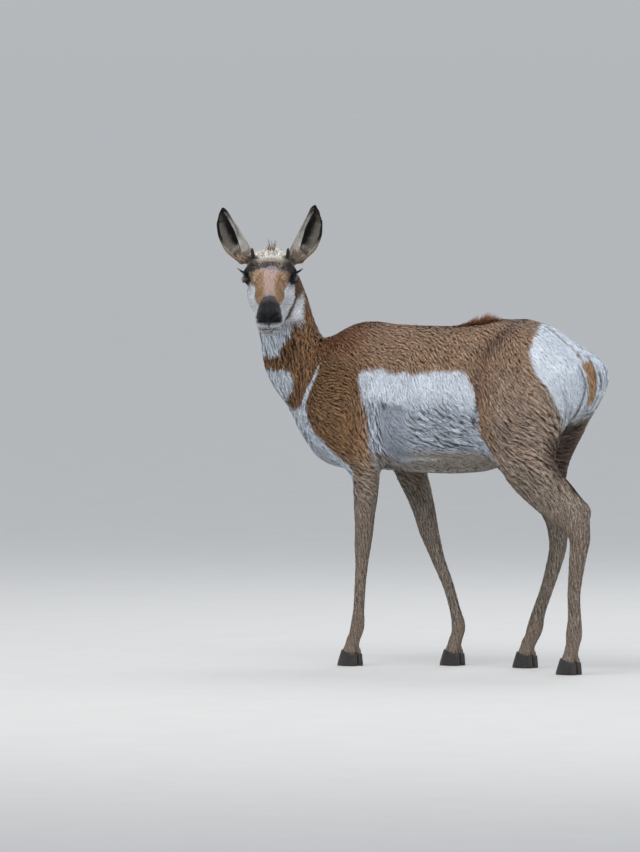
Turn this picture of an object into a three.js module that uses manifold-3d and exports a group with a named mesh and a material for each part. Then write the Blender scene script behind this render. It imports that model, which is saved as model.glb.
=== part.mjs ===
// Pronghorn doe, standing, head turned to the left: a still life-size figure.
// Units millimetres, +Z up. While it is being shaped x is the animal's left,
// -y its front, z = 0 the ground; at the end the whole is moved so that the
// origin is the middle of the bounding box at ground level.
//
// The animal is one closed skin-and-coat surface, out to the coat's tips. It is
// the zero level of a distance function blended from named masses (trunk
// sections, neck, shoulders, thighs, limb tubes, head masses, ear shells).
// That surface is meshed, thinned to facets and parted by thin cuts into the
// named nodes. Eyes, horns and hooves are separate solids.
import * as THREE from 'three';
import Module from 'manifold-3d';

// ------------------------------------------------------------ driving sizes
const GAP = 0.3;                 // clearance between pieces that meet
const HEAD_TURN = 35;          // degrees the head is turned past broadside
const HEAD_AT = [55, -522, 990]; // middle of the braincase
const HEAD_PITCH = 30;           // nose below level, degrees
const HEAD_YAW = 1.5;

// trunk sections: y, top z, bottom z, half width, z of the widest line,
// power of the upper curve, power of the lower curve
const TRUNK = [
 [-430, 700, 590, 36, 640, 2.0, 2.0],
 [-392, 800, 548, 66, 640, 1.75, 2.0],
 [-345, 838, 524, 86, 642, 1.7, 2.0],
 [-285, 856, 506, 102, 645, 1.75, 2.0],
 [-220, 861, 494, 110, 645, 1.75, 2.1],
 [-120, 857, 486, 120, 640, 1.85, 2.2],
 [-20, 856, 485, 127, 632, 2.0, 2.2],
 [80, 864, 491, 127, 640, 2.0, 2.2],
 [150, 873, 512, 121, 660, 1.95, 2.1],
 [210, 876, 540, 115, 685, 1.95, 2.0],
 [280, 860, 575, 107, 705, 2.0, 2.0],
 [340, 822, 604, 93, 712, 2.0, 2.0],
 [385, 776, 640, 70, 712, 2.0, 2.0],
 [412, 735, 672, 40, 704, 2.0, 2.0]
];
// tubes: x, y, z, radius in the plane of the limb, sideways factor
const NECK = [[0, -362, 655, 114, 0.7], [1, -423, 712, 101, 0.7], [4, -477, 764, 91, 0.72], [8, -499, 824, 78, 0.75], [13, -513, 882, 74, 0.78], [20, -526, 936, 69, 0.81], [28, -543, 985, 57, 0.87]];
// masses: ["E", centre, radii, turns, blend]  ["C", end, end, radius, radius, sideways factor, blend]
const CHEST = [
 ["E", [0, -345, 590], [80, 88, 76], [0, 0, 0], 50],
 ["E", [0, -290, 540], [66, 110, 46], [0, 0, 0], 40],
 ["C", [0, -14, 861], [0, 112, 875], 11, 12, 1, 12]
];
const SHOULDER = [
 ["E",[52,-285,690],[52,84,146],[-16,-8,0],60],
 ["E",[64,-318,610],[46,74,70],[0,0,0],40]
];
const FORE_LEFT = [[85, -268, 600, 74, 0.5], [88, -228, 540, 60, 0.6], [88, -209, 489, 42, 0.7], [87, -208, 434, 35, 0.76], [86, -212, 384, 29, 0.82], [84, -215, 340, 25, 0.9], [83, -220, 303, 23, 0.9], [82, -223, 265, 18.5, 0.9], [81, -229, 205, 16, 0.9], [80, -234, 145, 15.5, 0.92], [80, -238, 100, 19, 0.9], [80, -247, 72, 16, 1], [80, -255, 50, 16.5, 1]];
const FORE_RIGHT = [[-85, -230, 600, 74, 0.5], [-88, -208, 540, 56, 0.6], [-88, -190, 485, 45, 0.7], [-87, -167, 434, 37, 0.76], [-86, -148, 384, 31, 0.82], [-84, -134, 340, 27, 0.9], [-83, -119, 303, 22.5, 0.9], [-82, -102, 262, 18.5, 0.9], [-81, -71, 198, 16, 0.9], [-80, -50, 138, 15.5, 0.92], [-80, -40, 100, 19, 0.9], [-80, -45, 72, 16, 1], [-80, -53, 50, 16.5, 1]];
const HIND_LEFT = [[84, 280, 640, 106, 0.5], [92, 281, 580, 94, 0.5], [97, 290, 520, 76, 0.55], [99, 333, 468, 62, 0.6], [100, 378, 426, 52, 0.6], [100, 425, 384, 40, 0.66], [99, 443, 340, 29, 0.8], [98, 437, 292, 23.5, 0.85], [97, 425, 205, 18, 0.88], [96, 426, 140, 18.5, 0.9], [95, 424, 102, 22, 0.88], [95, 420, 72, 17.5, 1], [95, 414, 50, 17.5, 1]];
const HIND_RIGHT = [[-84, 240, 640, 96, 0.5], [-92, 224, 580, 80, 0.5], [-97, 213, 520, 66, 0.55], [-99, 216, 465, 52, 0.6], [-100, 229, 420, 45, 0.6], [-100, 245, 380, 38, 0.66], [-99, 247, 338, 27.5, 0.8], [-98, 245, 292, 23.5, 0.85], [-97, 217, 205, 18.5, 0.88], [-96, 192, 142, 18.5, 0.9], [-95, 181, 102, 22, 0.88], [-95, 169, 72, 17.5, 1], [-95, 157, 50, 17.5, 1]];
const THIGH_LEFT = [
 ["E", [62, 252, 700], [58, 108, 142], [0, 0, 0], 60],
 ["E", [62, 336, 700], [46, 64, 92], [-12, 0, 0], 40],
 ["E", [62, 362, 728], [40, 56, 50], [0, 0, 0], 30],
 ["E", [68, 210, 606], [48, 64, 92], [-18, 0, 0], 60],
 ["C", [99, 392, 466], [100, 450, 418], 20, 15, 0.7, 18],
 ["E", [100, 458, 398], [13, 16, 23], [-25, 0, 0], 18]
];
const THIGH_RIGHT = [
 ["E", [-62, 240, 700], [58, 104, 140], [0, 0, 0], 60],
 ["E", [-62, 336, 712], [46, 64, 84], [-12, 0, 0], 40],
 ["E", [-60, 362, 732], [42, 54, 48], [0, 0, 0], 30],
 ["E", [-68, 188, 602], [48, 62, 90], [-18, 0, 0], 60],
 ["E", [-100, 281, 396], [13, 15, 23], [-8, 0, 0], 18]
];
const TAIL = [[0, 360, 800, 17, 1.3], [0, 384, 778, 19, 1.3], [0, 402, 744, 19, 1.35], [0, 406, 706, 17, 1.35], [0, 404, 674, 12, 1.3], [0, 400, 652, 7, 1.3]];
// head masses in the head's own frame: forward, left, up; mirrored to the right
const HEAD = [
 ["E", [-12, 0, -2], [62, 50, 48], [0, 0, 0], 20],  // braincase
 ["E", [30, 0, 20], [60, 50, 28], [0, 10, 0], 20],  // forehead
 ["E", [40, 42, 12], [34, 23, 25], [0, 0, -6], 16],  // eye socket
 ["E", [18, 40, 34], [18, 15, 17], [0, 0, 0], 14],  // horn boss
 ["C", [62, 0, -6], [120, 0, -14], 42, 36, 0.96, 26],  // face
 ["C", [120, 0, -14], [176, 0, -25], 36, 30, 1.0, 20],  // muzzle
 ["E", [96, 0, 14], [76, 21, 15], [0, 13, 0], 22],  // nose bridge
 ["E", [40, 34, -44], [54, 26, 40], [0, -16, -4], 22],  // cheek
 ["C", [34, 24, -78], [112, 19, -68], 20, 17, 1, 22],  // jaw
 ["C", [112, 18, -68], [172, 13, -62], 17, 15, 1, 18],  // chin branch
 ["E", [189, 0, -18], [22, 26, 17], [0, 20, 0], 10],  // nose
 ["E", [181, 17, -38], [26, 18, 16], [0, 4, 6], 10],  // upper lip
 ["E", [172, 0, -66], [25, 31, 18], [0, 4, 0], 10]  // chin
];
const EYE_AT = [42, 47, 8];
const EYE_R = 21;
const LID = 2.8;                       // lid thickness over the eyeball
const EYE_OUT = [0.34, 0.93, 0.12];    // the way the eye looks
const EYE_OPEN = [17.5, 11.5];         // half length and half height between the lids
const HORN_AT = [17, 43, 38];          // foot of the horn core
const HORN_TO = [24, 45.5, 80];        // tip
const HORN_R = [8.2, 7.6, 6.4, 4.4, 1.6];
const EAR_LEN = 141.0;
const EAR_LEFT = [[-22,60,26],[-0.30,0.32,0.90],[0.86,0.42,0]];
const EAR_RIGHT = [[-22,-60,26],[-0.20,-0.38,0.90],[0.86,-0.42,0]];
// ear sections from root to tip: share of length, half width, half angle of the
// arc, outward bow, forward bow, half thickness with its hair
const EAR_H = [0,0.12,0.3,0.5,0.7,0.85,0.95,1];
const EAR_W = [14, 20, 26, 27, 22, 14, 8, 3];
const EAR_PHI = [150,125,100,84,74,66,60,60];
const EAR_C = [0, 7, 16, 21.5, 22, 16, 9, 5];
const EAR_B = [0,-3,-6,-7,-6,-3,2,5];
const EAR_T = [10,8,6.6,6,5.6,5.2,4.8,4.2];
// hooves: a claw's half length, half width, and the slanted plane of the coronet
const FEET = { front_left: [80,-255], front_right: [-80,-53], hind_left: [95,414], hind_right: [-95,157] };
const CLAW_X = 12.3;                   // claw's middle line from the foot's
const CLAW_HALF = 11.9;
const CORONET = [36, 0.28];            // height over the foot's middle, slope down to the heel
const FACETS = 5300;                   // facets kept on the whole skin

// ------------------------------------------------------------ small algebra
const rad = d => d * Math.PI / 180;
const dot = (a, b) => a[0]*b[0] + a[1]*b[1] + a[2]*b[2];
const add = (a, b) => [a[0]+b[0], a[1]+b[1], a[2]+b[2]];
const sub = (a, b) => [a[0]-b[0], a[1]-b[1], a[2]-b[2]];
const mul = (a, s) => [a[0]*s, a[1]*s, a[2]*s];
const cross = (a, b) => [a[1]*b[2]-a[2]*b[1], a[2]*b[0]-a[0]*b[2], a[0]*b[1]-a[1]*b[0]];
const unit = a => mul(a, 1/Math.sqrt(dot(a, a)));
const smin = (a, b, k) => { const h = Math.max(k - Math.abs(a-b), 0)/k; return Math.min(a, b) - h*h*k*0.25; };

// turn matrix, columns = turned axes (x first, then y, then z)
function turn([a, b, c]) {
  const [A, B, C] = [rad(a), rad(b), rad(c)];
  const m = new THREE.Matrix4().makeRotationZ(C)
    .multiply(new THREE.Matrix4().makeRotationY(B))
    .multiply(new THREE.Matrix4().makeRotationX(A)).elements;
  return [[m[0],m[1],m[2]],[m[4],m[5],m[6]],[m[8],m[9],m[10]]];
}
function smoothCurve(xs, ys) {
  const n = xs.length, h = [], d = [], m = new Array(n).fill(0);
  for (let i = 0; i < n-1; i++) { h.push(xs[i+1]-xs[i]); d.push((ys[i+1]-ys[i])/h[i]); }
  for (let i = 1; i < n-1; i++) if (d[i-1]*d[i] > 0) {
    const w1 = 2*h[i]+h[i-1], w2 = h[i]+2*h[i-1];
    m[i] = (w1+w2)/(w1/d[i-1]+w2/d[i]);
  }
  m[0] = d[0]; m[n-1] = d[n-2];
  return x => {
    x = Math.min(Math.max(x, xs[0]), xs[n-1]);
    let i = 0; while (i < n-2 && x > xs[i+1]) i++;
    const t = (x-xs[i])/h[i];
    return (1+2*t)*(1-t)**2*ys[i] + t*(1-t)**2*h[i]*m[i] + t*t*(3-2*t)*ys[i+1] + t*t*(t-1)*h[i]*m[i+1];
  };
}

// the head's own frame: forward, left, up
const HEADF = (() => {
  const p = rad(HEAD_PITCH), w = rad(HEAD_TURN - HEAD_YAW);
  const f = [Math.cos(p)*Math.cos(w), Math.cos(p)*Math.sin(w), -Math.sin(p)];
  const l = [-Math.sin(w), Math.cos(w), 0];
  return [f, l, cross(f, l)];
})();
const inHead = (v) => add(add(mul(HEADF[0], v[0]), mul(HEADF[1], v[1])), mul(HEADF[2], v[2]));
const headPoint = (v) => add(HEAD_AT, inHead(v));

// ------------------------------------------------------------ distance pieces
const REACH = 70;
function ellipsoid(c, r, R, k) {
  const big = (Math.max(...r) + REACH)**2;
  return { k, d(x, y, z) {
    const qx = x-c[0], qy = y-c[1], qz = z-c[2];
    if (qx*qx+qy*qy+qz*qz >= big) return 1e9;
    const a = (qx*R[0][0]+qy*R[0][1]+qz*R[0][2])/r[0];
    const b = (qx*R[1][0]+qy*R[1][1]+qz*R[1][2])/r[1];
    const e = (qx*R[2][0]+qy*R[2][1]+qz*R[2][2])/r[2];
    const k0 = Math.sqrt(a*a+b*b+e*e);
    const k1 = Math.sqrt((a/r[0])**2+(b/r[1])**2+(e/r[2])**2);
    return k0*(k0-1)/Math.max(k1, 1e-9);
  } };
}
function cone(a, b, ra, rb, flat, k, side) {
  const ba = sub(b, a), L = Math.sqrt(dot(ba, ba)), n = mul(ba, 1/L);
  const s = unit(sub(side, mul(n, dot(side, n))));
  const f = 1/flat - 1, sn = (ra-rb)/L, cs = Math.sqrt(Math.max(1-sn*sn, 1e-9));
  const mid = mul(add(a, b), 0.5), big = (L/2 + Math.max(ra, rb) + REACH)**2;
  return { k, d(x, y, z) {
    const mx = x-mid[0], my = y-mid[1], mz = z-mid[2];
    if (mx*mx+my*my+mz*mz >= big) return 1e9;
    let qx = x-a[0], qy = y-a[1], qz = z-a[2];
    if (f !== 0) { const w = (qx*s[0]+qy*s[1]+qz*s[2])*f; qx += w*s[0]; qy += w*s[1]; qz += w*s[2]; }
    const t = qx*n[0]+qy*n[1]+qz*n[2];
    const w = Math.sqrt(Math.max(qx*qx+qy*qy+qz*qz-t*t, 0));
    const m = Math.min(Math.max((t-w*sn/cs)/L, 0), 1);
    return Math.sqrt((t-m*L)**2+w*w) - (ra+(rb-ra)*m);
  } };
}
const AXES = [[1,0,0],[0,1,0],[0,0,1]];
const mass = m => m[0] === 'E' ? ellipsoid(m[1], m[2], turn(m[3]), m[4]) : cone(m[1], m[2], m[3], m[4], m[5], m[6], AXES[0]);
const flip = m => ['E', [-m[1][0], m[1][1], m[1][2]], m[2], [m[3][0], -m[3][1], -m[3][2]], m[4]];
function headMass(m, s) {
  const q = v => headPoint([v[0], v[1]*s, v[2]]);
  if (m[0] === 'E') return ellipsoid(q(m[1]), m[2], turn([m[3][0]*s, m[3][1], m[3][2]*s]).map(inHead), m[4]);
  return cone(q(m[1]), q(m[2]), m[3], m[4], m[5], m[6], HEADF[1]);
}
function tube(points, n, k) {
  const P = [points[0].map((v, i) => 2*v-points[1][i]), ...points, points.at(-1).map((v, i) => 2*v-points.at(-2)[i])];
  const out = [];
  for (let i = 1; i < P.length-2; i++) for (let j = 0; j < n; j++) {
    const t = j/n;
    out.push(P[i].map((b, c) => { const a = P[i-1][c], e = P[i+1][c], d = P[i+2][c];
      return 0.5*(2*b+(-a+e)*t+(2*a-5*b+4*e-d)*t*t+(-a+3*b-3*e+d)*t**3); }));
  }
  out.push(P.at(-2));
  const parts = [];
  for (let i = 0; i+1 < out.length; i++) {
    const [a, b] = [out[i], out[i+1]];
    parts.push(cone(a.slice(0, 3), b.slice(0, 3), a[3]-k/4, b[3]-k/4, (a[4]+b[4])/2, k, AXES[0]));
  }
  return parts;
}
// the two digits that come down into the hooves
const digits = ([x, y]) => [-1, 1].flatMap(s => [
  ellipsoid([x+s*CLAW_X*0.98, y-1, 34], [CLAW_HALF-0.3, 20.5, 17], AXES, 6),
  cone([x+s*6.5, y+3, 66], [x+s*CLAW_X*0.9, y-2, 42], 13, 12, 1, 6, AXES[0])
]);
const blend = (parts, x, y, z, start) => {
  let v = start;
  for (const p of parts) { const d = p.d(x, y, z); if (d < 1e8) v = smin(v, d, p.k); }
  return v;
};

const trunkTable = (() => {
  const ys = TRUNK.map(t => t[0]), f = [1,2,3,4,5,6].map(i => smoothCurve(ys, TRUNK.map(t => t[i])));
  const y0 = ys[0], n = ys.at(-1)-y0, rows = [];
  for (let i = 0; i <= n; i++) rows.push(f.map(g => g(y0+i)));
  return { y0, y1: ys.at(-1), rows };
})();
function trunkDistance(x, y, z) {
  const { y0, y1, rows } = trunkTable;
  const u = Math.min(Math.max(y-y0, 0), y1-y0), i = Math.min(Math.floor(u), rows.length-2), t = u-i;
  const a = rows[i], b = rows[i+1], c = j => a[j]+(b[j]-a[j])*t;
  const v = z-c(3), up = v > 0, half = up ? c(0)-c(3) : c(3)-c(1), p = up ? c(4) : c(5), w = c(2);
  const X = Math.max(Math.abs(x)/w, 1e-6), V = Math.max(Math.abs(v)/half, 1e-6);
  const g = (X**p+V**p)**(1/p), gx = g**(1-p)*X**(p-1)/w, gz = g**(1-p)*V**(p-1)/half;
  let d = (g-1)/Math.sqrt(gx*gx+gz*gz+1e-12);
  d = Math.min(Math.max(d, -120), 300);
  const e = Math.max(y0-y, y-y1), h = Math.max(30-Math.abs(d-e), 0)/30;
  return Math.max(d, e)+h*h*7.5;
}
function ear(spec, s) {
  const o = headPoint(spec[0]), A0 = unit(spec[1]);
  const B0 = unit(sub(spec[2], mul(A0, dot(A0, spec[2]))));
  let C0 = cross(A0, B0); if (C0[1]*s < 0) C0 = mul(C0, -1);
  const [A, B, C] = [A0, B0, C0].map(inHead);
  const [W, PH, CC, BB, T] = [EAR_W, EAR_PHI, EAR_C, EAR_B, EAR_T].map(t => { const f = smoothCurve(EAR_H, t);
    const tab = Array.from({ length: 33 }, (_, i) => f(i/32));
    return h => { const u = h*32, i = Math.min(Math.floor(u), 31); return tab[i]+(tab[i+1]-tab[i])*(u-i); }; });
  return { o, A, B, C, d(x, y, z) {
    const q = [x-o[0], y-o[1], z-o[2]], a = dot(q, A), h = Math.min(Math.max(a/EAR_LEN, 0), 1);
    const ph = rad(PH(h)), R = W(h)/Math.sin(Math.min(ph, Math.PI/2));
    const u = dot(q, B)-BB(h)-R*0.55, v = Math.abs(dot(q, C)-CC(h));
    const th = Math.atan2(v, -u);
    const d = th < ph ? Math.abs(Math.hypot(u, v)-R) : Math.hypot(u+R*Math.cos(ph), v-R*Math.sin(ph));
    const edge = Math.min(Math.max((th/ph-0.55)/0.45, 0), 1);
    const shell = Math.hypot(d, a-h*EAR_LEN) - T(h)*(1-0.16*edge);
    const floor = Math.hypot((a-4)/1.15, dot(q, B)-5, dot(q, C)-3)-17;   // closes the shell at its root
    return smin(shell, floor, 10);
  } };
}
const EARS = { left: ear(EAR_LEFT, 1), right: ear(EAR_RIGHT, -1) };
const MASSES = {
  body: [...CHEST, ...SHOULDER, ...SHOULDER.map(flip)].map(mass),
  neck: tube(NECK, 3, 10),
  tail: tube(TAIL, 3, 0.01),
  head: HEAD.flatMap(m => m[1][1] !== 0 ? [headMass(m, 1), headMass(m, -1)] : [headMass(m, 1)]),
  limbs: [[FORE_LEFT, [], 'front_left'], [FORE_RIGHT, [], 'front_right'], [HIND_LEFT, THIGH_LEFT, 'hind_left'], [HIND_RIGHT, THIGH_RIGHT, 'hind_right']]
    .map(([t, extra, f]) => [...tube(t, 3, 0.01), ...digits(FEET[f]), ...extra.map(mass)])
};
const EYES = [1, -1].map(s => headPoint([EYE_AT[0], s*EYE_AT[1], EYE_AT[2]]));
function skin(x, y, z) {
  let f = blend(MASSES.body, x, y, z, trunkDistance(x, y, z));
  const n = blend(MASSES.neck, x, y, z, 1e3);
  if (n < 900) f = smin(f, n, 50);
  let out = f;
  for (const limb of MASSES.limbs) {
    const g = blend(limb, x, y, z, 1e3);
    if (g < 900) out = Math.min(out, smin(f, g, 44));
  }
  const t = blend(MASSES.tail, x, y, z, 1e3); if (t < 900) out = smin(out, t, 10);
  const h = blend(MASSES.head, x, y, z, 1e3); if (h < 900) out = smin(out, h, 26);
  for (const c of EYES) { const r = Math.hypot(x-c[0], y-c[1], z-c[2]); if (r < 90) out = smin(out, r-(EYE_R+LID), 8); }
  for (const e of [EARS.left, EARS.right]) if (Math.hypot(x-e.o[0], y-e.o[1], z-e.o[2]) < 240) out = smin(out, e.d(x, y, z), 16);
  return out;
}

// ------------------------------------------------------------ meshing
function ruler(lo, hi, step, fine) {
  const out = [lo];
  while (out.at(-1) < hi) { let s = step; for (const [a, b, f] of fine) if (a <= out.at(-1) && out.at(-1) < b) s = Math.min(s, f); out.push(out.at(-1)+s); }
  return Float64Array.from(out);
}
function surface(fn, xs, ys, zs) {
  const [nx, ny, nz] = [xs.length, ys.length, zs.length], F = new Float32Array(nx*ny*nz), B = 6;
  const at = (i, j, k) => (i*ny+j)*nz+k;
  for (let i = 0; i < nx; i += B) for (let j = 0; j < ny; j += B) for (let k = 0; k < nz; k += B) {
    const I = Math.min(i+B, nx-1), J = Math.min(j+B, ny-1), K = Math.min(k+B, nz-1);
    const d = fn((xs[i]+xs[I])/2, (ys[j]+ys[J])/2, (zs[k]+zs[K])/2);
    const near = Math.abs(d) < Math.hypot(xs[I]-xs[i], ys[J]-ys[j], zs[K]-zs[k])/2*1.4+16;
    for (let a = i; a < Math.min(i+B, nx); a++) for (let b = j; b < Math.min(j+B, ny); b++) for (let c = k; c < Math.min(k+B, nz); c++)
      F[at(a, b, c)] = near ? fn(xs[a], ys[b], zs[c]) : d;
  }
  // a grid cell gives one corner to every separate sheet that passes through it,
  // so that thin places never pinch together
  const edgeNo = (ax, u, v) => ax*4+u*2+v;          // u, v: offsets along the next two axes
  const FACES = [];
  for (let ax = 0; ax < 3; ax++) for (const w of [0, 1]) {
    const o1 = (ax+1)%3, o2 = (ax+2)%3, ring = [[0, 0], [1, 0], [1, 1], [0, 1]];
    const corner = ([p, q]) => { const c = [0, 0, 0]; c[ax] = w; c[o1] = p; c[o2] = q; return c; };
    // the edge between ring corner n and n+1
    const edges = ring.map((r, n) => { const t = ring[(n+1)%4], dir = r[0] !== t[0] ? o1 : o2, c = corner([Math.min(r[0], t[0]), Math.min(r[1], t[1])]);
      return edgeNo(dir, c[(dir+1)%3], c[(dir+2)%3]); });
    FACES.push([ring.map(corner), edges]);
  }
  const sheets = new Map();
  const sheetOf = (i, j, k, e) => {
    const key = at(i, j, k); let up = sheets.get(key);
    if (!up) {
      up = Array.from({ length: 12 }, (_, n) => n);
      const find = n => { while (up[n] !== n) n = up[n]; return n; };
      for (const [cs, es] of FACES) {
        const s = cs.map(c => F[at(i+c[0], j+c[1], k+c[2])] < 0), x = es.filter((_, n) => s[n] !== s[(n+1)%4]);
        if (x.length === 2) up[find(x[0])] = find(x[1]);
        else if (x.length === 4) for (let n = 0; n < 4; n++) if (s[n]) up[find(es[(n+3)%4])] = find(es[n]);
      }
      up = up.map((_, n) => find(n)); sheets.set(key, up);
    }
    return up[e];
  };
  const id = new Map(), pos = [], cnt = [], tris = [];
  const cell = (i, j, k, e, p) => { const key = at(i, j, k)*12+sheetOf(i, j, k, e); let v = id.get(key);
    if (v === undefined) { v = cnt.length; id.set(key, v); cnt.push(0); pos.push(0, 0, 0); }
    pos[3*v] += p[0]; pos[3*v+1] += p[1]; pos[3*v+2] += p[2]; cnt[v]++; return v; };
  const G = [xs, ys, zs], N = [nx, ny, nz];
  for (let i = 0; i < nx-1; i++) for (let j = 0; j < ny-1; j++) for (let k = 0; k < nz-1; k++) {
    const f0 = F[at(i, j, k)];
    for (let ax = 0; ax < 3; ax++) {
      const q = [i, j, k]; q[ax]++;
      const f1 = F[at(...q)];
      if ((f0 < 0) === (f1 < 0)) continue;
      const [o1, o2] = [[1, 2], [2, 0], [0, 1]][ax], I = [i, j, k];
      if (I[o1] < 1 || I[o2] < 1) continue;
      const t = f0/(f0-f1), p = [xs[i], ys[j], zs[k]];
      p[ax] += t*(G[ax][I[ax]+1]-G[ax][I[ax]]);
      const c = [[-1, -1], [0, -1], [0, 0], [-1, 0]].map(([a, b]) => { const v = [...I]; v[o1] += a; v[o2] += b; return cell(...v, edgeNo(ax, -a, -b), p); });
      if (f0 >= 0) c.reverse();
      tris.push(c[0], c[1], c[2], c[0], c[2], c[3]);
    }
  }
  const V = Float64Array.from(pos, (v, i) => v/cnt[Math.floor(i/3)]);
  return { V, T: Int32Array.from(tris) };
}
// pull the corners on to the zero level
function settle(fn, V, most) {
  const e = 0.8;
  for (let i = 0; i < V.length; i += 3) {
    const [x, y, z] = [V[i], V[i+1], V[i+2]], d = fn(x, y, z);
    const g = [fn(x+e, y, z)-fn(x-e, y, z), fn(x, y+e, z)-fn(x, y-e, z), fn(x, y, z+e)-fn(x, y, z-e)].map(v => v/(2*e));
    const s = -d/Math.max(dot(g, g), 0.3), len = Math.abs(s)*Math.sqrt(dot(g, g)), c = s*Math.min(1, most/Math.max(len, 1e-9));
    V[i] += g[0]*c; V[i+1] += g[1]*c; V[i+2] += g[2]*c;
  }
}
// thin the facets by cheapest edge, with weight(x, y, z) for places that matter more
function thin(V, T, goal, weight) {
  const nv = V.length/3, Q = new Float64Array(nv*10), faces = Array.from({ length: nv }, () => []);
  const tri = Array.from(T), dead = new Uint8Array(tri.length/3), stamp = new Int32Array(nv), gone = new Uint8Array(nv);
  const P = i => [V[3*i], V[3*i+1], V[3*i+2]];
  for (let f = 0; f < dead.length; f++) {
    const [a, b, c] = [tri[3*f], tri[3*f+1], tri[3*f+2]];
    faces[a].push(f); faces[b].push(f); faces[c].push(f);
    const pa = P(a), n = cross(sub(P(b), pa), sub(P(c), pa)), A = Math.sqrt(dot(n, n));
    if (A < 1e-9) continue;
    const u = mul(n, 1/A), d = -dot(u, pa), w = A*weight(...pa);
    const q = [u[0]*u[0], u[0]*u[1], u[0]*u[2], u[0]*d, u[1]*u[1], u[1]*u[2], u[1]*d, u[2]*u[2], u[2]*d, d*d];
    for (const v of [a, b, c]) for (let k = 0; k < 10; k++) Q[10*v+k] += q[k]*w;
  }
  const cost = (q, p) => q[0]*p[0]*p[0]+2*q[1]*p[0]*p[1]+2*q[2]*p[0]*p[2]+2*q[3]*p[0]+q[4]*p[1]*p[1]+2*q[5]*p[1]*p[2]+2*q[6]*p[1]+q[7]*p[2]*p[2]+2*q[8]*p[2]+q[9];
  const heap = [];
  const push = h => { let i = heap.length; heap.push(h); while (i > 0) { const p = (i-1)>>1; if (heap[p][0] <= heap[i][0]) break; [heap[p], heap[i]] = [heap[i], heap[p]]; i = p; } };
  const pop = () => { const top = heap[0], last = heap.pop(); if (heap.length) { heap[0] = last; let i = 0; for (;;) { let c = 2*i+1; if (c >= heap.length) break; if (c+1 < heap.length && heap[c+1][0] < heap[c][0]) c++; if (heap[i][0] <= heap[c][0]) break; [heap[i], heap[c]] = [heap[c], heap[i]]; i = c; } } return top; };
  const edge = (a, b) => {
    const q = new Array(10); for (let k = 0; k < 10; k++) q[k] = Q[10*a+k]+Q[10*b+k];
    const pa = P(a), pb = P(b), m = mul(add(pa, pb), 0.5), len2 = dot(sub(pa, pb), sub(pa, pb));
    const r = (q[0]+q[4]+q[7])*1e-3+1e-9;
    const A = [q[0]+r, q[1], q[2], q[4]+r, q[5], q[7]+r], bb = [-q[3]+r*m[0], -q[6]+r*m[1], -q[8]+r*m[2]];
    const c00 = A[3]*A[5]-A[4]*A[4], c01 = A[2]*A[4]-A[1]*A[5], c02 = A[1]*A[4]-A[2]*A[3];
    const det = A[0]*c00+A[1]*c01+A[2]*c02;
    let p = m;
    if (Math.abs(det) > 1e-12) {
      const c11 = A[0]*A[5]-A[2]*A[2], c12 = A[1]*A[2]-A[0]*A[4], c22 = A[0]*A[3]-A[1]*A[1];
      p = [(c00*bb[0]+c01*bb[1]+c02*bb[2])/det, (c01*bb[0]+c11*bb[1]+c12*bb[2])/det, (c02*bb[0]+c12*bb[1]+c22*bb[2])/det];
      const o = sub(p, m); if (dot(o, o) > len2*1.2) p = m;
    }
    push([Math.max(cost(q, p), 0)+len2*1e-4*weight(...m), a, b, stamp[a], stamp[b], p]);
  };
  const seen = new Set();
  for (let f = 0; f < dead.length; f++) for (let k = 0; k < 3; k++) {
    const a = tri[3*f+k], b = tri[3*f+(k+1)%3], key = Math.min(a, b)*nv+Math.max(a, b);
    if (!seen.has(key)) { seen.add(key); edge(a, b); }
  }
  let alive = dead.length;
  const ring = v => { const s = new Set(); for (const f of faces[v]) if (!dead[f]) for (let k = 0; k < 3; k++) if (tri[3*f+k] !== v) s.add(tri[3*f+k]); return s; };
  while (alive > goal && heap.length) {
    const [, a, b, sa, sb, p] = pop();
    if (gone[a] || gone[b] || stamp[a] !== sa || stamp[b] !== sb) continue;
    const ra = ring(a), rb = ring(b); let common = 0; for (const v of ra) if (rb.has(v)) common++;
    if (common !== 2) continue;
    let shared = 0, ok = true;
    for (const [v, o] of [[a, b], [b, a]]) { for (const f of faces[v]) {
      if (dead[f]) continue;
      const t = [tri[3*f], tri[3*f+1], tri[3*f+2]];
      if (t.includes(o)) { shared++; continue; }
      const q0 = t.map(P), q1 = t.map((w, i) => w === v ? p : q0[i]);
      const n0 = cross(sub(q0[1], q0[0]), sub(q0[2], q0[0])), n1 = cross(sub(q1[1], q1[0]), sub(q1[2], q1[0]));
      const l0 = Math.sqrt(dot(n0, n0)), l1 = Math.sqrt(dot(n1, n1));
      const e = Math.max(...[0, 1, 2].map(i => { const s = sub(q1[i], q1[(i+1)%3]); return dot(s, s); }));
      if (dot(n0, n1) < 0.35*l0*l1 || l1 < 0.12*e) { ok = false; break; }
    } if (!ok) break; }
    if (!ok || shared !== 4) continue;
    V[3*a] = p[0]; V[3*a+1] = p[1]; V[3*a+2] = p[2];
    for (let k = 0; k < 10; k++) Q[10*a+k] += Q[10*b+k];
    for (const f of faces[b]) { if (dead[f]) continue;
      const t = [tri[3*f], tri[3*f+1], tri[3*f+2]];
      if (t.includes(a)) { dead[f] = 1; alive--; continue; }
      for (let k = 0; k < 3; k++) if (tri[3*f+k] === b) tri[3*f+k] = a;
      faces[a].push(f); }
    gone[b] = 1; stamp[a]++;
    faces[a] = faces[a].filter(f => !dead[f]);
    for (const v of ring(a)) { edge(a, v); }
  }
  const map = new Map(), outV = [], outT = [];
  for (let f = 0; f < dead.length; f++) if (!dead[f]) for (let k = 0; k < 3; k++) {
    const v = tri[3*f+k]; if (!map.has(v)) { map.set(v, outV.length/3); outV.push(V[3*v], V[3*v+1], V[3*v+2]); } outT.push(map.get(v)); }
  return { V: Float64Array.from(outV), T: Int32Array.from(outT) };
}

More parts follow.
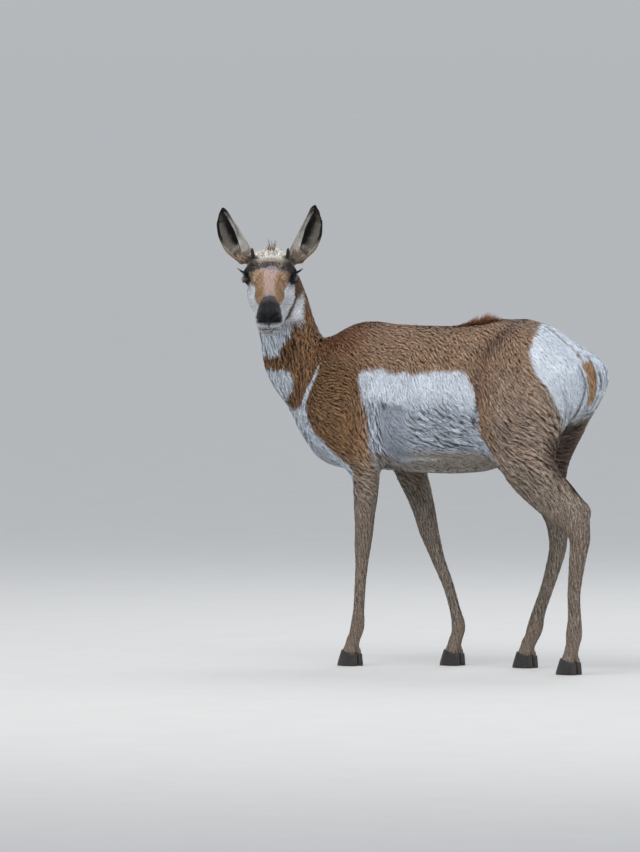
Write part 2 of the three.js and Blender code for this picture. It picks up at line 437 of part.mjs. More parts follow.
const wasm = await Module(); wasm.setup();
const solid = (V, T) => new wasm.Manifold(new wasm.Mesh({ numProp: 3, vertProperties: Float32Array.from(V), triVerts: Uint32Array.from(T) }));
function fromGeometry(g) {
  const p = g.getAttribute('position'), idx = g.index ? Array.from(g.index.array) : Array.from({ length: p.count }, (_, i) => i);
  const key = new Map(), V = [], re = [];
  for (let i = 0; i < p.count; i++) {
    const v = [p.getX(i), p.getY(i), p.getZ(i)], s = v.map(c => Math.round(c*1e4)).join(',');
    if (!key.has(s)) { key.set(s, V.length/3); V.push(...v); } re.push(key.get(s));
  }
  const T = [];
  for (let i = 0; i < idx.length; i += 3) { const t = [re[idx[i]], re[idx[i+1]], re[idx[i+2]]]; if (t[0] !== t[1] && t[1] !== t[2] && t[2] !== t[0]) T.push(...t); }
  return solid(V, T);
}
const frame = (x, y, z, o) => new THREE.Matrix4().makeBasis(new THREE.Vector3(...x), new THREE.Vector3(...y), new THREE.Vector3(...z)).setPosition(...o);
// everything on the far side of a plane, as a large block: +normal side, begun `off` past the plane
function side(point, normal, off, size = 1600) {
  const n = unit(normal), a = Math.abs(n[2]) < 0.9 ? [0, 0, 1] : [1, 0, 0], x = unit(cross(a, n)), y = cross(n, x);
  const g = new THREE.BoxGeometry(size, size, size).applyMatrix4(frame(x, y, n, add(point, mul(n, size/2+off))));
  return fromGeometry(g);
}
// block of given half sizes round a centre, in a frame
function block(c, h, X = AXES[0], Y = AXES[1], Z = AXES[2], grow = 0) {
  return fromGeometry(new THREE.BoxGeometry(2*(h[0]+grow), 2*(h[1]+grow), 2*(h[2]+grow)).applyMatrix4(frame(X, Y, Z, c)));
}
const biggest = m => m.decompose().sort((a, b) => b.volume()-a.volume())[0];

// ------------------------------------------------------------ the whole skin
const whole = (() => {
  const xs = ruler(-180, 260, 9, [[-45, 230, 3.4]]), ys = ruler(-670, 500, 9, [[-670, -395, 3.4]]), zs = ruler(2, 1200, 9, [[2, 110, 6], [880, 1000, 4.5], [1000, 1200, 3.3]]);
  const m = surface(skin, xs, ys, zs);
  settle(skin, m.V, 1.6);
  const s = thin(m.V, m.T, FACETS, (x, y, z) => {
    if (z > 1045) return 6;
    if (z > 860 && y < -420) return 15;
    if (z < 120) return 5;
    return z < 480 ? 2.5 : 1;
  });
  return biggest(solid(s.V, s.T));
})();

// ------------------------------------------------------------ thin cuts
const H = GAP/2+0.05;
const nodes = {};
const cut = (m, point, normal) => [m.intersect(side(point, normal, H)), m.intersect(side(point, mul(normal, -1), H))];
let rest = whole;
// ears: a block round each ear above its root
for (const [name, e] of Object.entries(EARS)) {
  const c = add(e.o, mul(e.A, 14+100)), h = [62, 62, 100];
  nodes['ear_'+name] = biggest(rest.intersect(block(c, h, e.B, e.C.map((v, i) => cross(e.A, e.B)[i]), e.A, -H)));
  rest = rest.subtract(block(c, h, e.B, cross(e.A, e.B), e.A, H));
}
// head from neck, neck from trunk
const headSpace = off => side(headPoint([-62, 0, 40]), inHead([0.836, 0, 0.549]), off)
  .intersect(block(headPoint([50, 0, 30]), [250, 110, 130], ...HEADF, -off));
nodes.head = biggest(rest.intersect(headSpace(H)));
rest = biggest(rest.subtract(headSpace(-H)));
const [neck, body] = cut(rest, [0, -395, 735], [0, -0.72, 0.69]);
nodes.neck = biggest(neck); rest = biggest(body);
// tail
{
  const c = [0, 386+60, 722], h = [27, 60, 88];
  nodes.tail = biggest(rest.intersect(block(c, h, ...AXES, -H)));
  rest = biggest(rest.subtract(block(c, h, ...AXES, H)));
}
// limbs: under a sloping plane that rises outwards, between two upright planes
for (const [name, s, y0, y1, lean, x0, z0, slope] of [
  ['front_left', 1, -352, -140, 0, 42, 496, 1.45], ['front_right', -1, -318, -96, 0.26, 42, 496, 1.45],
  ['hind_left', 1, 150, 520, 0, 34, 566, 1.15], ['hind_right', -1, 122, 470, 0, 34, 566, 1.15]]) {
  const piece = off => side([s*x0, 0, z0], [s*slope, 0, -1], off)
    .intersect(side([s*x0, 0, 0], [s, 0, 0], off)).intersect(side([0, y0, 540], [0, 1, 0], off)).intersect(side([0, y1, 540], [0, -1, -lean], off));
  nodes['leg_'+name] = biggest(rest.intersect(piece(H)));
  rest = biggest(rest.subtract(piece(-H)));
}
nodes.trunk = rest;

// ------------------------------------------------------------ eyes in their sockets
for (const [name, s] of [['left', 1], ['right', -1]]) {
  const c = headPoint([EYE_AT[0], s*EYE_AT[1], EYE_AT[2]]);
  const e = unit([EYE_OUT[0], s*EYE_OUT[1], EYE_OUT[2]]);
  let hz = unit(sub([1, 0, 0], mul(e, e[0]))); hz = unit(add(mul(hz, 0.97), mul(cross(e, hz), -0.22*s)));
  const vt = cross(e, hz), [E, X, Y] = [e, hz, vt].map(inHead);
  const ball = (r, w, h) => new THREE.SphereGeometry(r, w, h).applyMatrix4(frame(X, Y, E, c));
  nodes['eye_'+name] = fromGeometry(ball(EYE_R, 16, 10));
  const opening = new THREE.CylinderGeometry(1, 1, 1, 16).rotateX(Math.PI/2).translate(0, 0, 0.5).scale(EYE_OPEN[0], EYE_OPEN[1], 60).applyMatrix4(frame(X, Y, E, c));
  nodes.head = nodes.head.subtract(fromGeometry(ball(EYE_R+GAP+0.75, 16, 10))).subtract(fromGeometry(opening));
}
// ------------------------------------------------------------ horns
for (const [name, s] of [['left', 1], ['right', -1]]) {
  const a = headPoint([HORN_AT[0], s*HORN_AT[1], HORN_AT[2]]), b = headPoint([HORN_TO[0], s*HORN_TO[1], HORN_TO[2]]);
  const ax = sub(b, a), L = Math.sqrt(dot(ax, ax)), n = unit(ax), x = unit(cross([0, 0, 1], n));
  const spike = g => { const r = HORN_R.map((v, i) => new THREE.Vector2(v+g, L*i/(HORN_R.length-1)+(i === 0 ? -g : 0)));
    return new THREE.LatheGeometry([new THREE.Vector2(0, -g), ...r, new THREE.Vector2(0, L+1.2+g)], 12).rotateX(Math.PI/2).applyMatrix4(frame(x, cross(n, x), n, a)); };
  nodes['horn_'+name] = fromGeometry(spike(0));
  nodes.head = nodes.head.subtract(fromGeometry(spike(GAP)));
}
nodes.head = biggest(nodes.head);

// ------------------------------------------------------------ hooves
// one claw: rings from the flat sole to the sloping coronet, pointed at the toe
function claw(x, y, outer) {
  const n = 14, rings = [[0, 37, 22.5, 1.04], [0.14, 36, 22.8, 1.05], [1, 21.5, 20, 1.0]];
  const V = [], T = [];
  for (const [t, toe, heel, wide] of rings) for (let i = 0; i < n; i++) {
    const a = 2*Math.PI*i/n, ca = Math.cos(a), sa = Math.sin(a);   // a = 0 toward the toe
    const py = ca > 0 ? -toe*ca : -heel*ca;
    const p = ca > 0 ? 0.85+0.25*(1-t) : 0.7;                      // point in front, round behind
    const inner = outer*sa < 0;
    const half = inner ? CLAW_HALF : CLAW_HALF*wide;               // the inner walls stand side by side
    const lean = inner ? 0 : outer*0.8*(1-t)*Math.abs(sa);
    V.push(x+half*Math.sign(sa)*Math.abs(sa)**p+lean-outer*3.5*Math.max(ca, 0)**2*(1-t)*0.6, y+py, t*(CORONET[0]-H-py*CORONET[1]));
  }
  for (let r = 0; r+1 < rings.length; r++) for (let i = 0; i < n; i++) {
    const a = r*n+i, b = r*n+(i+1)%n, c = a+n, d = b+n; T.push(a, b, d, a, d, c);
  }
  for (const [r, up] of [[0, false], [rings.length-1, true]]) {
    const base = r*n; let cx = 0, cy = 0, cz = 0;
    for (let i = 0; i < n; i++) { cx += V[3*(base+i)]/n; cy += V[3*(base+i)+1]/n; cz += V[3*(base+i)+2]/n; }
    const m = V.length/3; V.push(cx, cy, cz);
    for (let i = 0; i < n; i++) { const a = base+i, b = base+(i+1)%n; up ? T.push(a, b, m) : T.push(b, a, m); }
  }
  return [V, T];
}
for (const [name, [x, y]] of Object.entries(FEET)) {
  // end the leg at the coronet
  nodes['leg_'+name] = biggest(nodes['leg_'+name].intersect(side([x, y, CORONET[0]], [0, CORONET[1], 1], H)));
  for (const [w, s] of [['inner', -Math.sign(x)], ['outer', Math.sign(x)]]) {
    let [V, T] = claw(x+s*CLAW_X, y, s);
    let m = solid(V, T);
    if (m.volume() < 0) { T = T.map((_, i) => T[i-(i%3)+[0, 2, 1][i%3]]); m = solid(V, T); }
    nodes['hoof_'+name+'_'+w] = m;
  }
}

// the cuts leave crumbs of edges: close up every edge shorter than `least`,
// and swap the diagonal of needles
function tidy(V, T, least) {
  const n = V.length/3, faces = Array.from({ length: n }, () => new Set()), tri = [];
  for (let f = 0; f < T.length/3; f++) { const t = [T[3*f], T[3*f+1], T[3*f+2]]; tri.push(t); t.forEach(v => faces[v].add(f)); }
  const P = i => [V[3*i], V[3*i+1], V[3*i+2]], gap = (a, b) => { const d = sub(P(a), P(b)); return Math.sqrt(dot(d, d)); };
  const ring = v => { const s = new Set(); for (const f of faces[v]) for (const w of tri[f]) if (w !== v) s.add(w); return s; };
  const height = t => { const [a, b, c] = t.map(P), m = cross(sub(b, a), sub(c, a)); return Math.sqrt(dot(m, m))/Math.max(gap(t[0], t[1]), gap(t[1], t[2]), gap(t[2], t[0]), 1e-12); };
  const close = (a, b) => {
    const ra = ring(a), rb = ring(b); let common = 0; for (const v of ra) if (rb.has(v)) common++;
    if (common !== 2 || ra.size+rb.size < 8) return false;
    for (const f of [...faces[b]]) {
      const t = tri[f];
      if (t.includes(a)) { t.forEach(v => faces[v].delete(f)); tri[f] = null; }
      else { t[t.indexOf(b)] = a; faces[a].add(f); }
    }
    faces[b].clear(); return true;
  };
  for (let pass = 0, changed = true; changed && pass < 12; pass++) {
    changed = false;
    for (let f = 0; f < tri.length; f++) for (let k = 0; k < 3 && tri[f]; k++) {
      const [a, b] = [tri[f][k], tri[f][(k+1)%3]];
      if (gap(a, b) < least && close(a, b)) { changed = true; break; }
    }
    for (let f = 0; f < tri.length; f++) {
      const t = tri[f]; if (!t || height(t) > least/2) continue;
      // longest edge a-b with the opposite corner c lying on it; d is across
      let k = 0; for (let i = 1; i < 3; i++) if (gap(t[i], t[(i+1)%3]) > gap(t[k], t[(k+1)%3])) k = i;
      const [a, b, c] = [t[k], t[(k+1)%3], t[(k+2)%3]];
      const g = [...faces[a]].find(h => h !== f && tri[h].includes(b));
      if (g === undefined) continue;
      const d = tri[g].find(v => v !== a && v !== b);
      if (d === c || ring(c).has(d)) continue;
      if (Math.min(height([a, d, c]), height([d, b, c])) <= height(t)) continue;
      [f, g].forEach(h => tri[h].forEach(v => faces[v].delete(h)));
      tri[f] = [a, d, c]; tri[g] = [d, b, c];
      [f, g].forEach(h => tri[h].forEach(v => faces[v].add(h)));
      changed = true;
    }
  }
  const map = new Map(), oV = [], oT = [];
  for (const t of tri) if (t) for (const v of t) { if (!map.has(v)) { map.set(v, oV.length/3); oV.push(...P(v)); } oT.push(map.get(v)); }
  return [oV, oT];
}

// ------------------------------------------------------------ the group
const LOOK = {
  head: [0x9a7350, 0.9], neck: [0x8d5f3d, 0.9], trunk: [0x96683f, 0.9], tail: [0x6b4026, 0.9],
  leg: [0x9d8064, 0.9], ear: [0x4a4038, 0.9], eye: [0x120d0a, 0.12], horn: [0x1b1917, 0.5], hoof: [0x1f1d1c, 0.45]
};
const box = new THREE.Box3();
const geos = {};
for (const [name, m] of Object.entries(nodes)) {
  const mesh = m.getMesh(), [P, T] = tidy(Array.from(mesh.vertProperties), Array.from(mesh.triVerts), 0.04);
  const g = new THREE.BufferGeometry();
  g.setAttribute('position', new THREE.BufferAttribute(Float32Array.from(P), 3));
  g.setIndex(new THREE.BufferAttribute(Uint32Array.from(T), 1));
  g.computeBoundingBox(); box.union(g.boundingBox);
  geos[name] = g;
}
const group = new THREE.Group(); group.name = 'pronghorn';
const shift = [-(box.min.x+box.max.x)/2, -(box.min.y+box.max.y)/2, -box.min.z];
for (const [name, g] of Object.entries(geos)) {
  g.translate(...shift); g.computeVertexNormals();
  const [color, roughness] = LOOK[name.split('_')[0]];
  const mesh = new THREE.Mesh(g, new THREE.MeshStandardMaterial({ color, roughness, metalness: 0 }));
  mesh.name = name; group.add(mesh);
}
group.userData.shift = shift;
export default group;
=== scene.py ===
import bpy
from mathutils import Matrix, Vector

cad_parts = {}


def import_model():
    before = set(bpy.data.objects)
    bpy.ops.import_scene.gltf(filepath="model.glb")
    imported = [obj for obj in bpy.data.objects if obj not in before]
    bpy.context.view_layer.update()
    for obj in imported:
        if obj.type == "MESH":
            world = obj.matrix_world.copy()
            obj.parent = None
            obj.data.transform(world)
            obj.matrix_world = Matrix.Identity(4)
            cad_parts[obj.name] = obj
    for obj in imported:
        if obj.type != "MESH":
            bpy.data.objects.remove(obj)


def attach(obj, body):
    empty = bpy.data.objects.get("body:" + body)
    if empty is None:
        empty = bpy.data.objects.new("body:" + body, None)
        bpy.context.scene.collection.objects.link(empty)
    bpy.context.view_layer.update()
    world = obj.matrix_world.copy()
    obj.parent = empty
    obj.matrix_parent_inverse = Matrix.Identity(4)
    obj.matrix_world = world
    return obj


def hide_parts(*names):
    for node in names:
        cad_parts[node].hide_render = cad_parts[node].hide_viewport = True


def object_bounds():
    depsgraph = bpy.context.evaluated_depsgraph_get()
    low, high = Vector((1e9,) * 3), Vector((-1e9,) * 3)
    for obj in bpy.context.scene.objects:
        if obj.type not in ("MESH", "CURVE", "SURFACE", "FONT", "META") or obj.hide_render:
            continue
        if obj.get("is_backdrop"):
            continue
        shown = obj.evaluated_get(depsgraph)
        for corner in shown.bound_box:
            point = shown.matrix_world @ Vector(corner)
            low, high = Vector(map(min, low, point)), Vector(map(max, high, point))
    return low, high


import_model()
cad_box = [list(c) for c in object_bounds()]

import math
import time

import bpy
import numpy as np
from mathutils import Vector

T0 = time.time()


def say(*words):
    print("[%5.1fs]" % (time.time() - T0), *words, flush=True)


# ---------------------------------------------------------------- driving sizes
# Working frame: millimetres, x the animal's left, -y its front, z = 0 the floor.
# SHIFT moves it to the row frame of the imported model.
SHIFT = np.array([-32.9716, 81.6126, 0.0])
TURN, PITCH, YAW = 35.0, 30.0, 1.5          # how the head is turned, degrees
HEAD_AT = np.array([55.0, -522.0, 990.0])

# trunk sections: y, top, bottom, half width, z of the widest line, two powers
TRUNK = [
    [-430, 700, 590, 36, 640, 2.0, 2.0],
    [-392, 800, 548, 66, 640, 1.75, 2.0],
    [-345, 838, 524, 86, 642, 1.7, 2.0],
    [-285, 856, 506, 102, 645, 1.75, 2.0],
    [-220, 861, 494, 110, 645, 1.75, 2.1],
    [-120, 857, 486, 120, 640, 1.85, 2.2],
    [-20, 856, 485, 127, 632, 2.0, 2.2],
    [80, 864, 491, 127, 640, 2.0, 2.2],
    [150, 873, 512, 121, 660, 1.95, 2.1],
    [210, 876, 540, 115, 685, 1.95, 2.0],
    [280, 860, 575, 107, 705, 2.0, 2.0],
    [340, 822, 604, 93, 712, 2.0, 2.0],
    [385, 776, 640, 70, 712, 2.0, 2.0],
    [412, 735, 672, 40, 704, 2.0, 2.0],
]
# tubes: x, y, z, radius in the plane of the limb, sideways factor
NECK = [[0, -362, 655, 114, 0.7], [1, -423, 712, 101, 0.7], [4, -477, 764, 91, 0.72], [8, -499, 824, 78, 0.75], [13, -513, 882, 74, 0.78], [20, -526, 936, 69, 0.81], [28, -543, 985, 57, 0.87]]
# masses: "E", centre, radii, turns, blend   or   "C", end, end, two radii, flat, blend
CHEST = [["E", [0, -345, 590], [80, 88, 76], [0, 0, 0], 50], ["E", [0, -290, 540], [66, 110, 46], [0, 0, 0], 40]]
SHOULDER = [["E", [52, -285, 690], [52, 84, 146], [-16, -8, 0], 60], ["E", [64, -318, 610], [46, 74, 70], [0, 0, 0], 40]]
FORE_LEFT = [[85, -268, 600, 74, 0.5], [88, -228, 540, 60, 0.6], [88, -209, 489, 42, 0.7], [87, -208, 434, 35, 0.76], [86, -212, 384, 29, 0.82], [84, -215, 340, 25, 0.9], [83, -220, 303, 23, 0.9], [82, -223, 265, 18.5, 0.9], [81, -229, 205, 16, 0.9], [80, -234, 145, 15.5, 0.92], [80, -238, 100, 19, 0.9], [80, -247, 72, 16, 1], [80, -255, 50, 16.5, 1]]
FORE_RIGHT = [[-85, -230, 600, 74, 0.5], [-88, -208, 540, 56, 0.6], [-88, -190, 485, 45, 0.7], [-87, -167, 434, 37, 0.76], [-86, -148, 384, 31, 0.82], [-84, -134, 340, 27, 0.9], [-83, -119, 303, 22.5, 0.9], [-82, -102, 262, 18.5, 0.9], [-81, -71, 198, 16, 0.9], [-80, -50, 138, 15.5, 0.92], [-80, -40, 100, 19, 0.9], [-80, -45, 72, 16, 1], [-80, -53, 50, 16.5, 1]]
HIND_LEFT = [[84, 280, 640, 106, 0.5], [92, 281, 580, 94, 0.5], [97, 290, 520, 76, 0.55], [99, 333, 468, 62, 0.6], [100, 378, 426, 52, 0.6], [100, 425, 384, 40, 0.66], [99, 443, 340, 29, 0.8], [98, 437, 292, 23.5, 0.85], [97, 425, 205, 18, 0.88], [96, 426, 140, 18.5, 0.9], [95, 424, 102, 22, 0.88], [95, 420, 72, 17.5, 1], [95, 414, 50, 17.5, 1]]
HIND_RIGHT = [[-84, 240, 640, 96, 0.5], [-92, 224, 580, 80, 0.5], [-97, 213, 520, 66, 0.55], [-99, 216, 465, 52, 0.6], [-100, 229, 420, 45, 0.6], [-100, 245, 380, 38, 0.66], [-99, 247, 338, 27.5, 0.8], [-98, 245, 292, 23.5, 0.85], [-97, 217, 205, 18.5, 0.88], [-96, 192, 142, 18.5, 0.9], [-95, 181, 102, 22, 0.88], [-95, 169, 72, 17.5, 1], [-95, 157, 50, 17.5, 1]]
THIGH_LEFT = [["E", [62, 252, 700], [58, 108, 142], [0, 0, 0], 60], ["E", [62, 336, 700], [46, 64, 92], [-12, 0, 0], 40], ["E", [62, 362, 728], [40, 56, 50], [0, 0, 0], 30], ["E", [68, 210, 606], [48, 64, 92], [-18, 0, 0], 60], ["C", [99, 392, 466], [100, 450, 418], 20, 15, 0.7, 18], ["E", [100, 458, 398], [13, 16, 23], [-25, 0, 0], 18]]
THIGH_RIGHT = [["E", [-62, 240, 700], [58, 104, 140], [0, 0, 0], 60], ["E", [-62, 336, 712], [46, 64, 84], [-12, 0, 0], 40], ["E", [-60, 362, 732], [42, 54, 48], [0, 0, 0], 30], ["E", [-68, 188, 602], [48, 62, 90], [-18, 0, 0], 60], ["E", [-100, 281, 396], [13, 15, 23], [-8, 0, 0], 18]]
TAIL = [[0, 360, 800, 17, 1.3], [0, 384, 778, 19, 1.3], [0, 402, 744, 19, 1.35], [0, 406, 706, 17, 1.35], [0, 404, 674, 12, 1.3], [0, 400, 652, 7, 1.3]]
# head masses in the head's own frame: forward, left, up; mirrored
HEAD = [
    ["E", [-12, 0, -2], [62, 50, 48], [0, 0, 0], 20],
    ["E", [30, 0, 20], [60, 50, 28], [0, 10, 0], 20],
    ["E", [40, 42, 12], [34, 23, 25], [0, 0, -6], 16],
    ["E", [18, 40, 34], [18, 15, 17], [0, 0, 0], 14],
    ["C", [62, 0, -6], [120, 0, -14], 42, 36, 0.96, 26],
    ["C", [120, 0, -14], [176, 0, -25], 36, 30, 1.0, 20],
    ["E", [96, 0, 14], [76, 21, 15], [0, 13, 0], 22],
    ["E", [40, 34, -44], [54, 26, 40], [0, -16, -4], 22],
    ["C", [34, 24, -78], [112, 19, -68], 20, 17, 1, 22],
    ["C", [112, 18, -68], [172, 13, -62], 17, 15, 1, 18],
    ["E", [189, 0, -18], [22, 26, 17], [0, 20, 0], 10],
    ["E", [181, 17, -38], [26, 18, 16], [0, 4, 6], 10],
    ["E", [172, 0, -66], [25, 31, 18], [0, 4, 0], 10],
]
EYE_AT, EYE_R, LID = [42, 47, 8], 21.0, 2.8
EYE_OUT, EYE_OPEN = [0.34, 0.93, 0.12], [18.6, 13.6]
HORN_AT, HORN_TO, HORN_R = [17, 43, 38], [24, 45.5, 80], [8.2, 7.6, 6.4, 4.4, 1.6]
EAR_LEN = 141.0
EAR_LEFT = [[-22, 60, 26], [-0.30, 0.32, 0.90], [0.86, 0.42, 0]]
EAR_RIGHT = [[-22, -60, 26], [-0.20, -0.38, 0.90], [0.86, -0.42, 0]]
EAR_H = [0, 0.12, 0.3, 0.5, 0.7, 0.85, 0.95, 1]
EAR_W = [14, 20, 26, 27, 22, 14, 8, 3]
EAR_PHI = [150, 125, 100, 84, 74, 66, 60, 60]
EAR_C = [0, 7, 16, 21.5, 22, 16, 9, 5]
EAR_B = [0, -3, -6, -7, -6, -3, 2, 5]
EAR_T = [10, 8, 6.6, 6, 5.6, 5.2, 4.8, 4.2]
FEET = {"front_left": [80, -255], "front_right": [-80, -53], "hind_left": [95, 414], "hind_right": [-95, 157]}
CLAW_X, CLAW_HALF, CORONET = 12.3, 11.9, [36, 0.28]

COARSE, FINE = 7.4, 2.45                     # skin mesh steps on the body and on the head


# ---------------------------------------------------------------- small algebra
def unit(v):
    v = np.asarray(v, float)
    return v / np.maximum(np.linalg.norm(v, axis=-1, keepdims=True), 1e-12)


def dots(a, b):
    return np.einsum("ij,ij->i", a, b)


def smooth(a, b, x):
    t = np.clip((x - a) / (b - a), 0.0, 1.0)
    return t * t * (3 - 2 * t)


def rot(deg):
    a, b, c = [math.radians(v) for v in deg]
    X = np.array([[1, 0, 0], [0, math.cos(a), -math.sin(a)], [0, math.sin(a), math.cos(a)]])
    Y = np.array([[math.cos(b), 0, math.sin(b)], [0, 1, 0], [-math.sin(b), 0, math.cos(b)]])
    Z = np.array([[math.cos(c), -math.sin(c), 0], [math.sin(c), math.cos(c), 0], [0, 0, 1]])
    return Z @ Y @ X


def pchip(xs, ys, x):
    xs, ys = np.asarray(xs, float), np.asarray(ys, float)
    h = np.diff(xs)
    d = np.diff(ys) / h
    m = np.zeros_like(ys)
    for i in range(1, len(xs) - 1):
        if d[i - 1] * d[i] > 0:
            w1, w2 = 2 * h[i] + h[i - 1], h[i] + 2 * h[i - 1]
            m[i] = (w1 + w2) / (w1 / d[i - 1] + w2 / d[i])
    m[0], m[-1] = d[0], d[-1]
    x = np.clip(x, xs[0], xs[-1])
    i = np.clip(np.searchsorted(xs, x) - 1, 0, len(xs) - 2)
    t = (x - xs[i]) / h[i]
    return (1 + 2 * t) * (1 - t) ** 2 * ys[i] + t * (1 - t) ** 2 * h[i] * m[i] + t * t * (3 - 2 * t) * ys[i + 1] + t * t * (t - 1) * h[i] * m[i + 1]


_p, _w = math.radians(PITCH), math.radians(TURN - YAW)
_f = np.array([math.cos(_p) * math.cos(_w), math.cos(_p) * math.sin(_w), -math.sin(_p)])
_l = np.array([-math.sin(_w), math.cos(_w), 0.0])
HF = np.array([_f, _l, np.cross(_f, _l)])    # rows: forward, left, up


def hp(v):
    return HEAD_AT + np.asarray(v, float) @ HF


def to_head(P):
    return (P - HEAD_AT) @ HF.T


def world(P):
    return (P + SHIFT) / 1000.0


_rng = np.random.default_rng(7)
_TABLE = _rng.random(65536).astype(np.float32) * 2 - 1


def noise(P, size, seed=0):
    """smooth value noise, -1..1, one value each `size` millimetres"""
    q = P / size + seed * 17.31
    i = np.floor(q).astype(np.int64)
    f = (q - i).astype(np.float32)
    u = f * f * (3 - 2 * f)
    hx = [i[:, 0] * 73856093, (i[:, 0] + 1) * 73856093]
    hy = [i[:, 1] * 19349663, (i[:, 1] + 1) * 19349663]
    hz = [i[:, 2] * 83492791 + seed * 2971, (i[:, 2] + 1) * 83492791 + seed * 2971]
    wx, wy, wz = [1 - u[:, 0], u[:, 0]], [1 - u[:, 1], u[:, 1]], [1 - u[:, 2], u[:, 2]]
    out = np.zeros(len(P), np.float32)
    for a in (0, 1):
        for b in (0, 1):
            hab, wab = hx[a] ^ hy[b], wx[a] * wy[b]
            for c in (0, 1):
                k = hab ^ hz[c]
                k = (k ^ (k >> 13)) & 65535
                out += wab * wz[c] * _TABLE[k]
    return out


# ---------------------------------------------------------------- the body's distance function
REACH = 70.0


def ellipsoid(c, r, R, k):
    c, r = np.asarray(c, float), np.asarray(r, float)

    def d(P):
        q = (P - c) @ R
        k0 = np.sqrt(((q / r) ** 2).sum(1))
        k1 = np.sqrt(((q / (r * r)) ** 2).sum(1))
        return k0 * (k0 - 1) / np.maximum(k1, 1e-9)

    return (d, k, c, r.max())


def cone(a, b, ra, rb, flat, k, side):
    a, b = np.asarray(a, float), np.asarray(b, float)
    L = np.linalg.norm(b - a)
    n = (b - a) / L
    s = unit(side - n * np.dot(side, n))
    f, sn = 1 / flat - 1, (ra - rb) / L
    tn = sn / math.sqrt(max(1 - sn * sn, 1e-9))

    def d(P):
        q = P - a
        if f:
            q = q + np.outer((q @ s) * f, s)
        t = q @ n
        w = np.sqrt(np.maximum((q * q).sum(1) - t * t, 0))
        m = np.clip((t - w * tn) / L, 0, 1)
        return np.sqrt((t - m * L) ** 2 + w * w) - (ra + (rb - ra) * m)

    return (d, k, (a + b) / 2, L / 2 + max(ra, rb))


SX = np.array([1.0, 0, 0])


def mass(m):
    return ellipsoid(m[1], m[2], rot(m[3]), m[4]) if m[0] == "E" else cone(m[1], m[2], m[3], m[4], m[5], m[6], SX)


def flip(m):
    return ["E", [-m[1][0], m[1][1], m[1][2]], m[2], [m[3][0], -m[3][1], -m[3][2]], m[4]]


def head_mass(m, s):
    def q(v):
        return hp([v[0], v[1] * s, v[2]])

    if m[0] == "E":
        return ellipsoid(q(m[1]), m[2], HF.T @ rot([m[3][0] * s, m[3][1], m[3][2] * s]), m[4])
    return cone(q(m[1]), q(m[2]), m[3], m[4], m[5], m[6], HF[1])


def spline(points, n):
    P = np.array(points, float)
    P = np.vstack([2 * P[0] - P[1], P, 2 * P[-1] - P[-2]])
    out = []
    for i in range(1, len(P) - 2):
        for j in range(n):
            t = j / n
            a, b, c, d = P[i - 1:i + 3]
            out.append(0.5 * (2 * b + (-a + c) * t + (2 * a - 5 * b + 4 * c - d) * t * t + (-a + 3 * b - 3 * c + d) * t ** 3))
    out.append(P[-2])
    return np.array(out)


def tube(points, n, k):
    Q = spline(points, n)
    return [cone(a[:3], b[:3], a[3] - k / 4, b[3] - k / 4, (a[4] + b[4]) / 2, k, SX) for a, b in zip(Q[:-1], Q[1:])]


def digits(foot):
    x, y = foot
    out = []
    for s in (-1, 1):
        out.append(ellipsoid([x + s * CLAW_X * 0.98, y - 1, 34], [CLAW_HALF - 0.3, 20.5, 17], np.eye(3), 6))
        out.append(cone([x + s * 6.5, y + 3, 66], [x + s * CLAW_X * 0.9, y - 2, 42], 13, 12, 1, 6, SX))
    return out


def smin(a, b, k):
    h = np.maximum(k - np.abs(a - b), 0) / k
    return np.minimum(a, b) - h * h * k * 0.25


_ty = np.arange(-430.0, 413.0)
_tt = [pchip([t[0] for t in TRUNK], [t[i] for t in TRUNK], _ty) for i in range(1, 7)]


def trunk_distance(P):
    x, y, z = np.abs(P[:, 0]), P[:, 1], P[:, 2]
    zt, zb, hw, zw, pt, pb = [np.interp(y, _ty, t) for t in _tt]
    v = z - zw
    up = v > 0
    half, p = np.where(up, zt - zw, zw - zb), np.where(up, pt, pb)
    X, V = np.maximum(x / hw, 1e-6), np.maximum(np.abs(v) / half, 1e-6)
    g = (X ** p + V ** p) ** (1 / p)
    gx, gz = g ** (1 - p) * X ** (p - 1) / hw, g ** (1 - p) * V ** (p - 1) / half
    d = np.clip((g - 1) / np.sqrt(gx * gx + gz * gz + 1e-12), -120, 300)
    e = np.maximum(_ty[0] - y, y - _ty[-1])
    h = np.maximum(30 - np.abs(d - e), 0) / 30
    return np.maximum(d, e) + h * h * 7.5


_eh = np.linspace(0, 1, 33)
_EW, _EP, _EC, _EB, _ET = [pchip(EAR_H, t, _eh) for t in (EAR_W, EAR_PHI, EAR_C, EAR_B, EAR_T)]


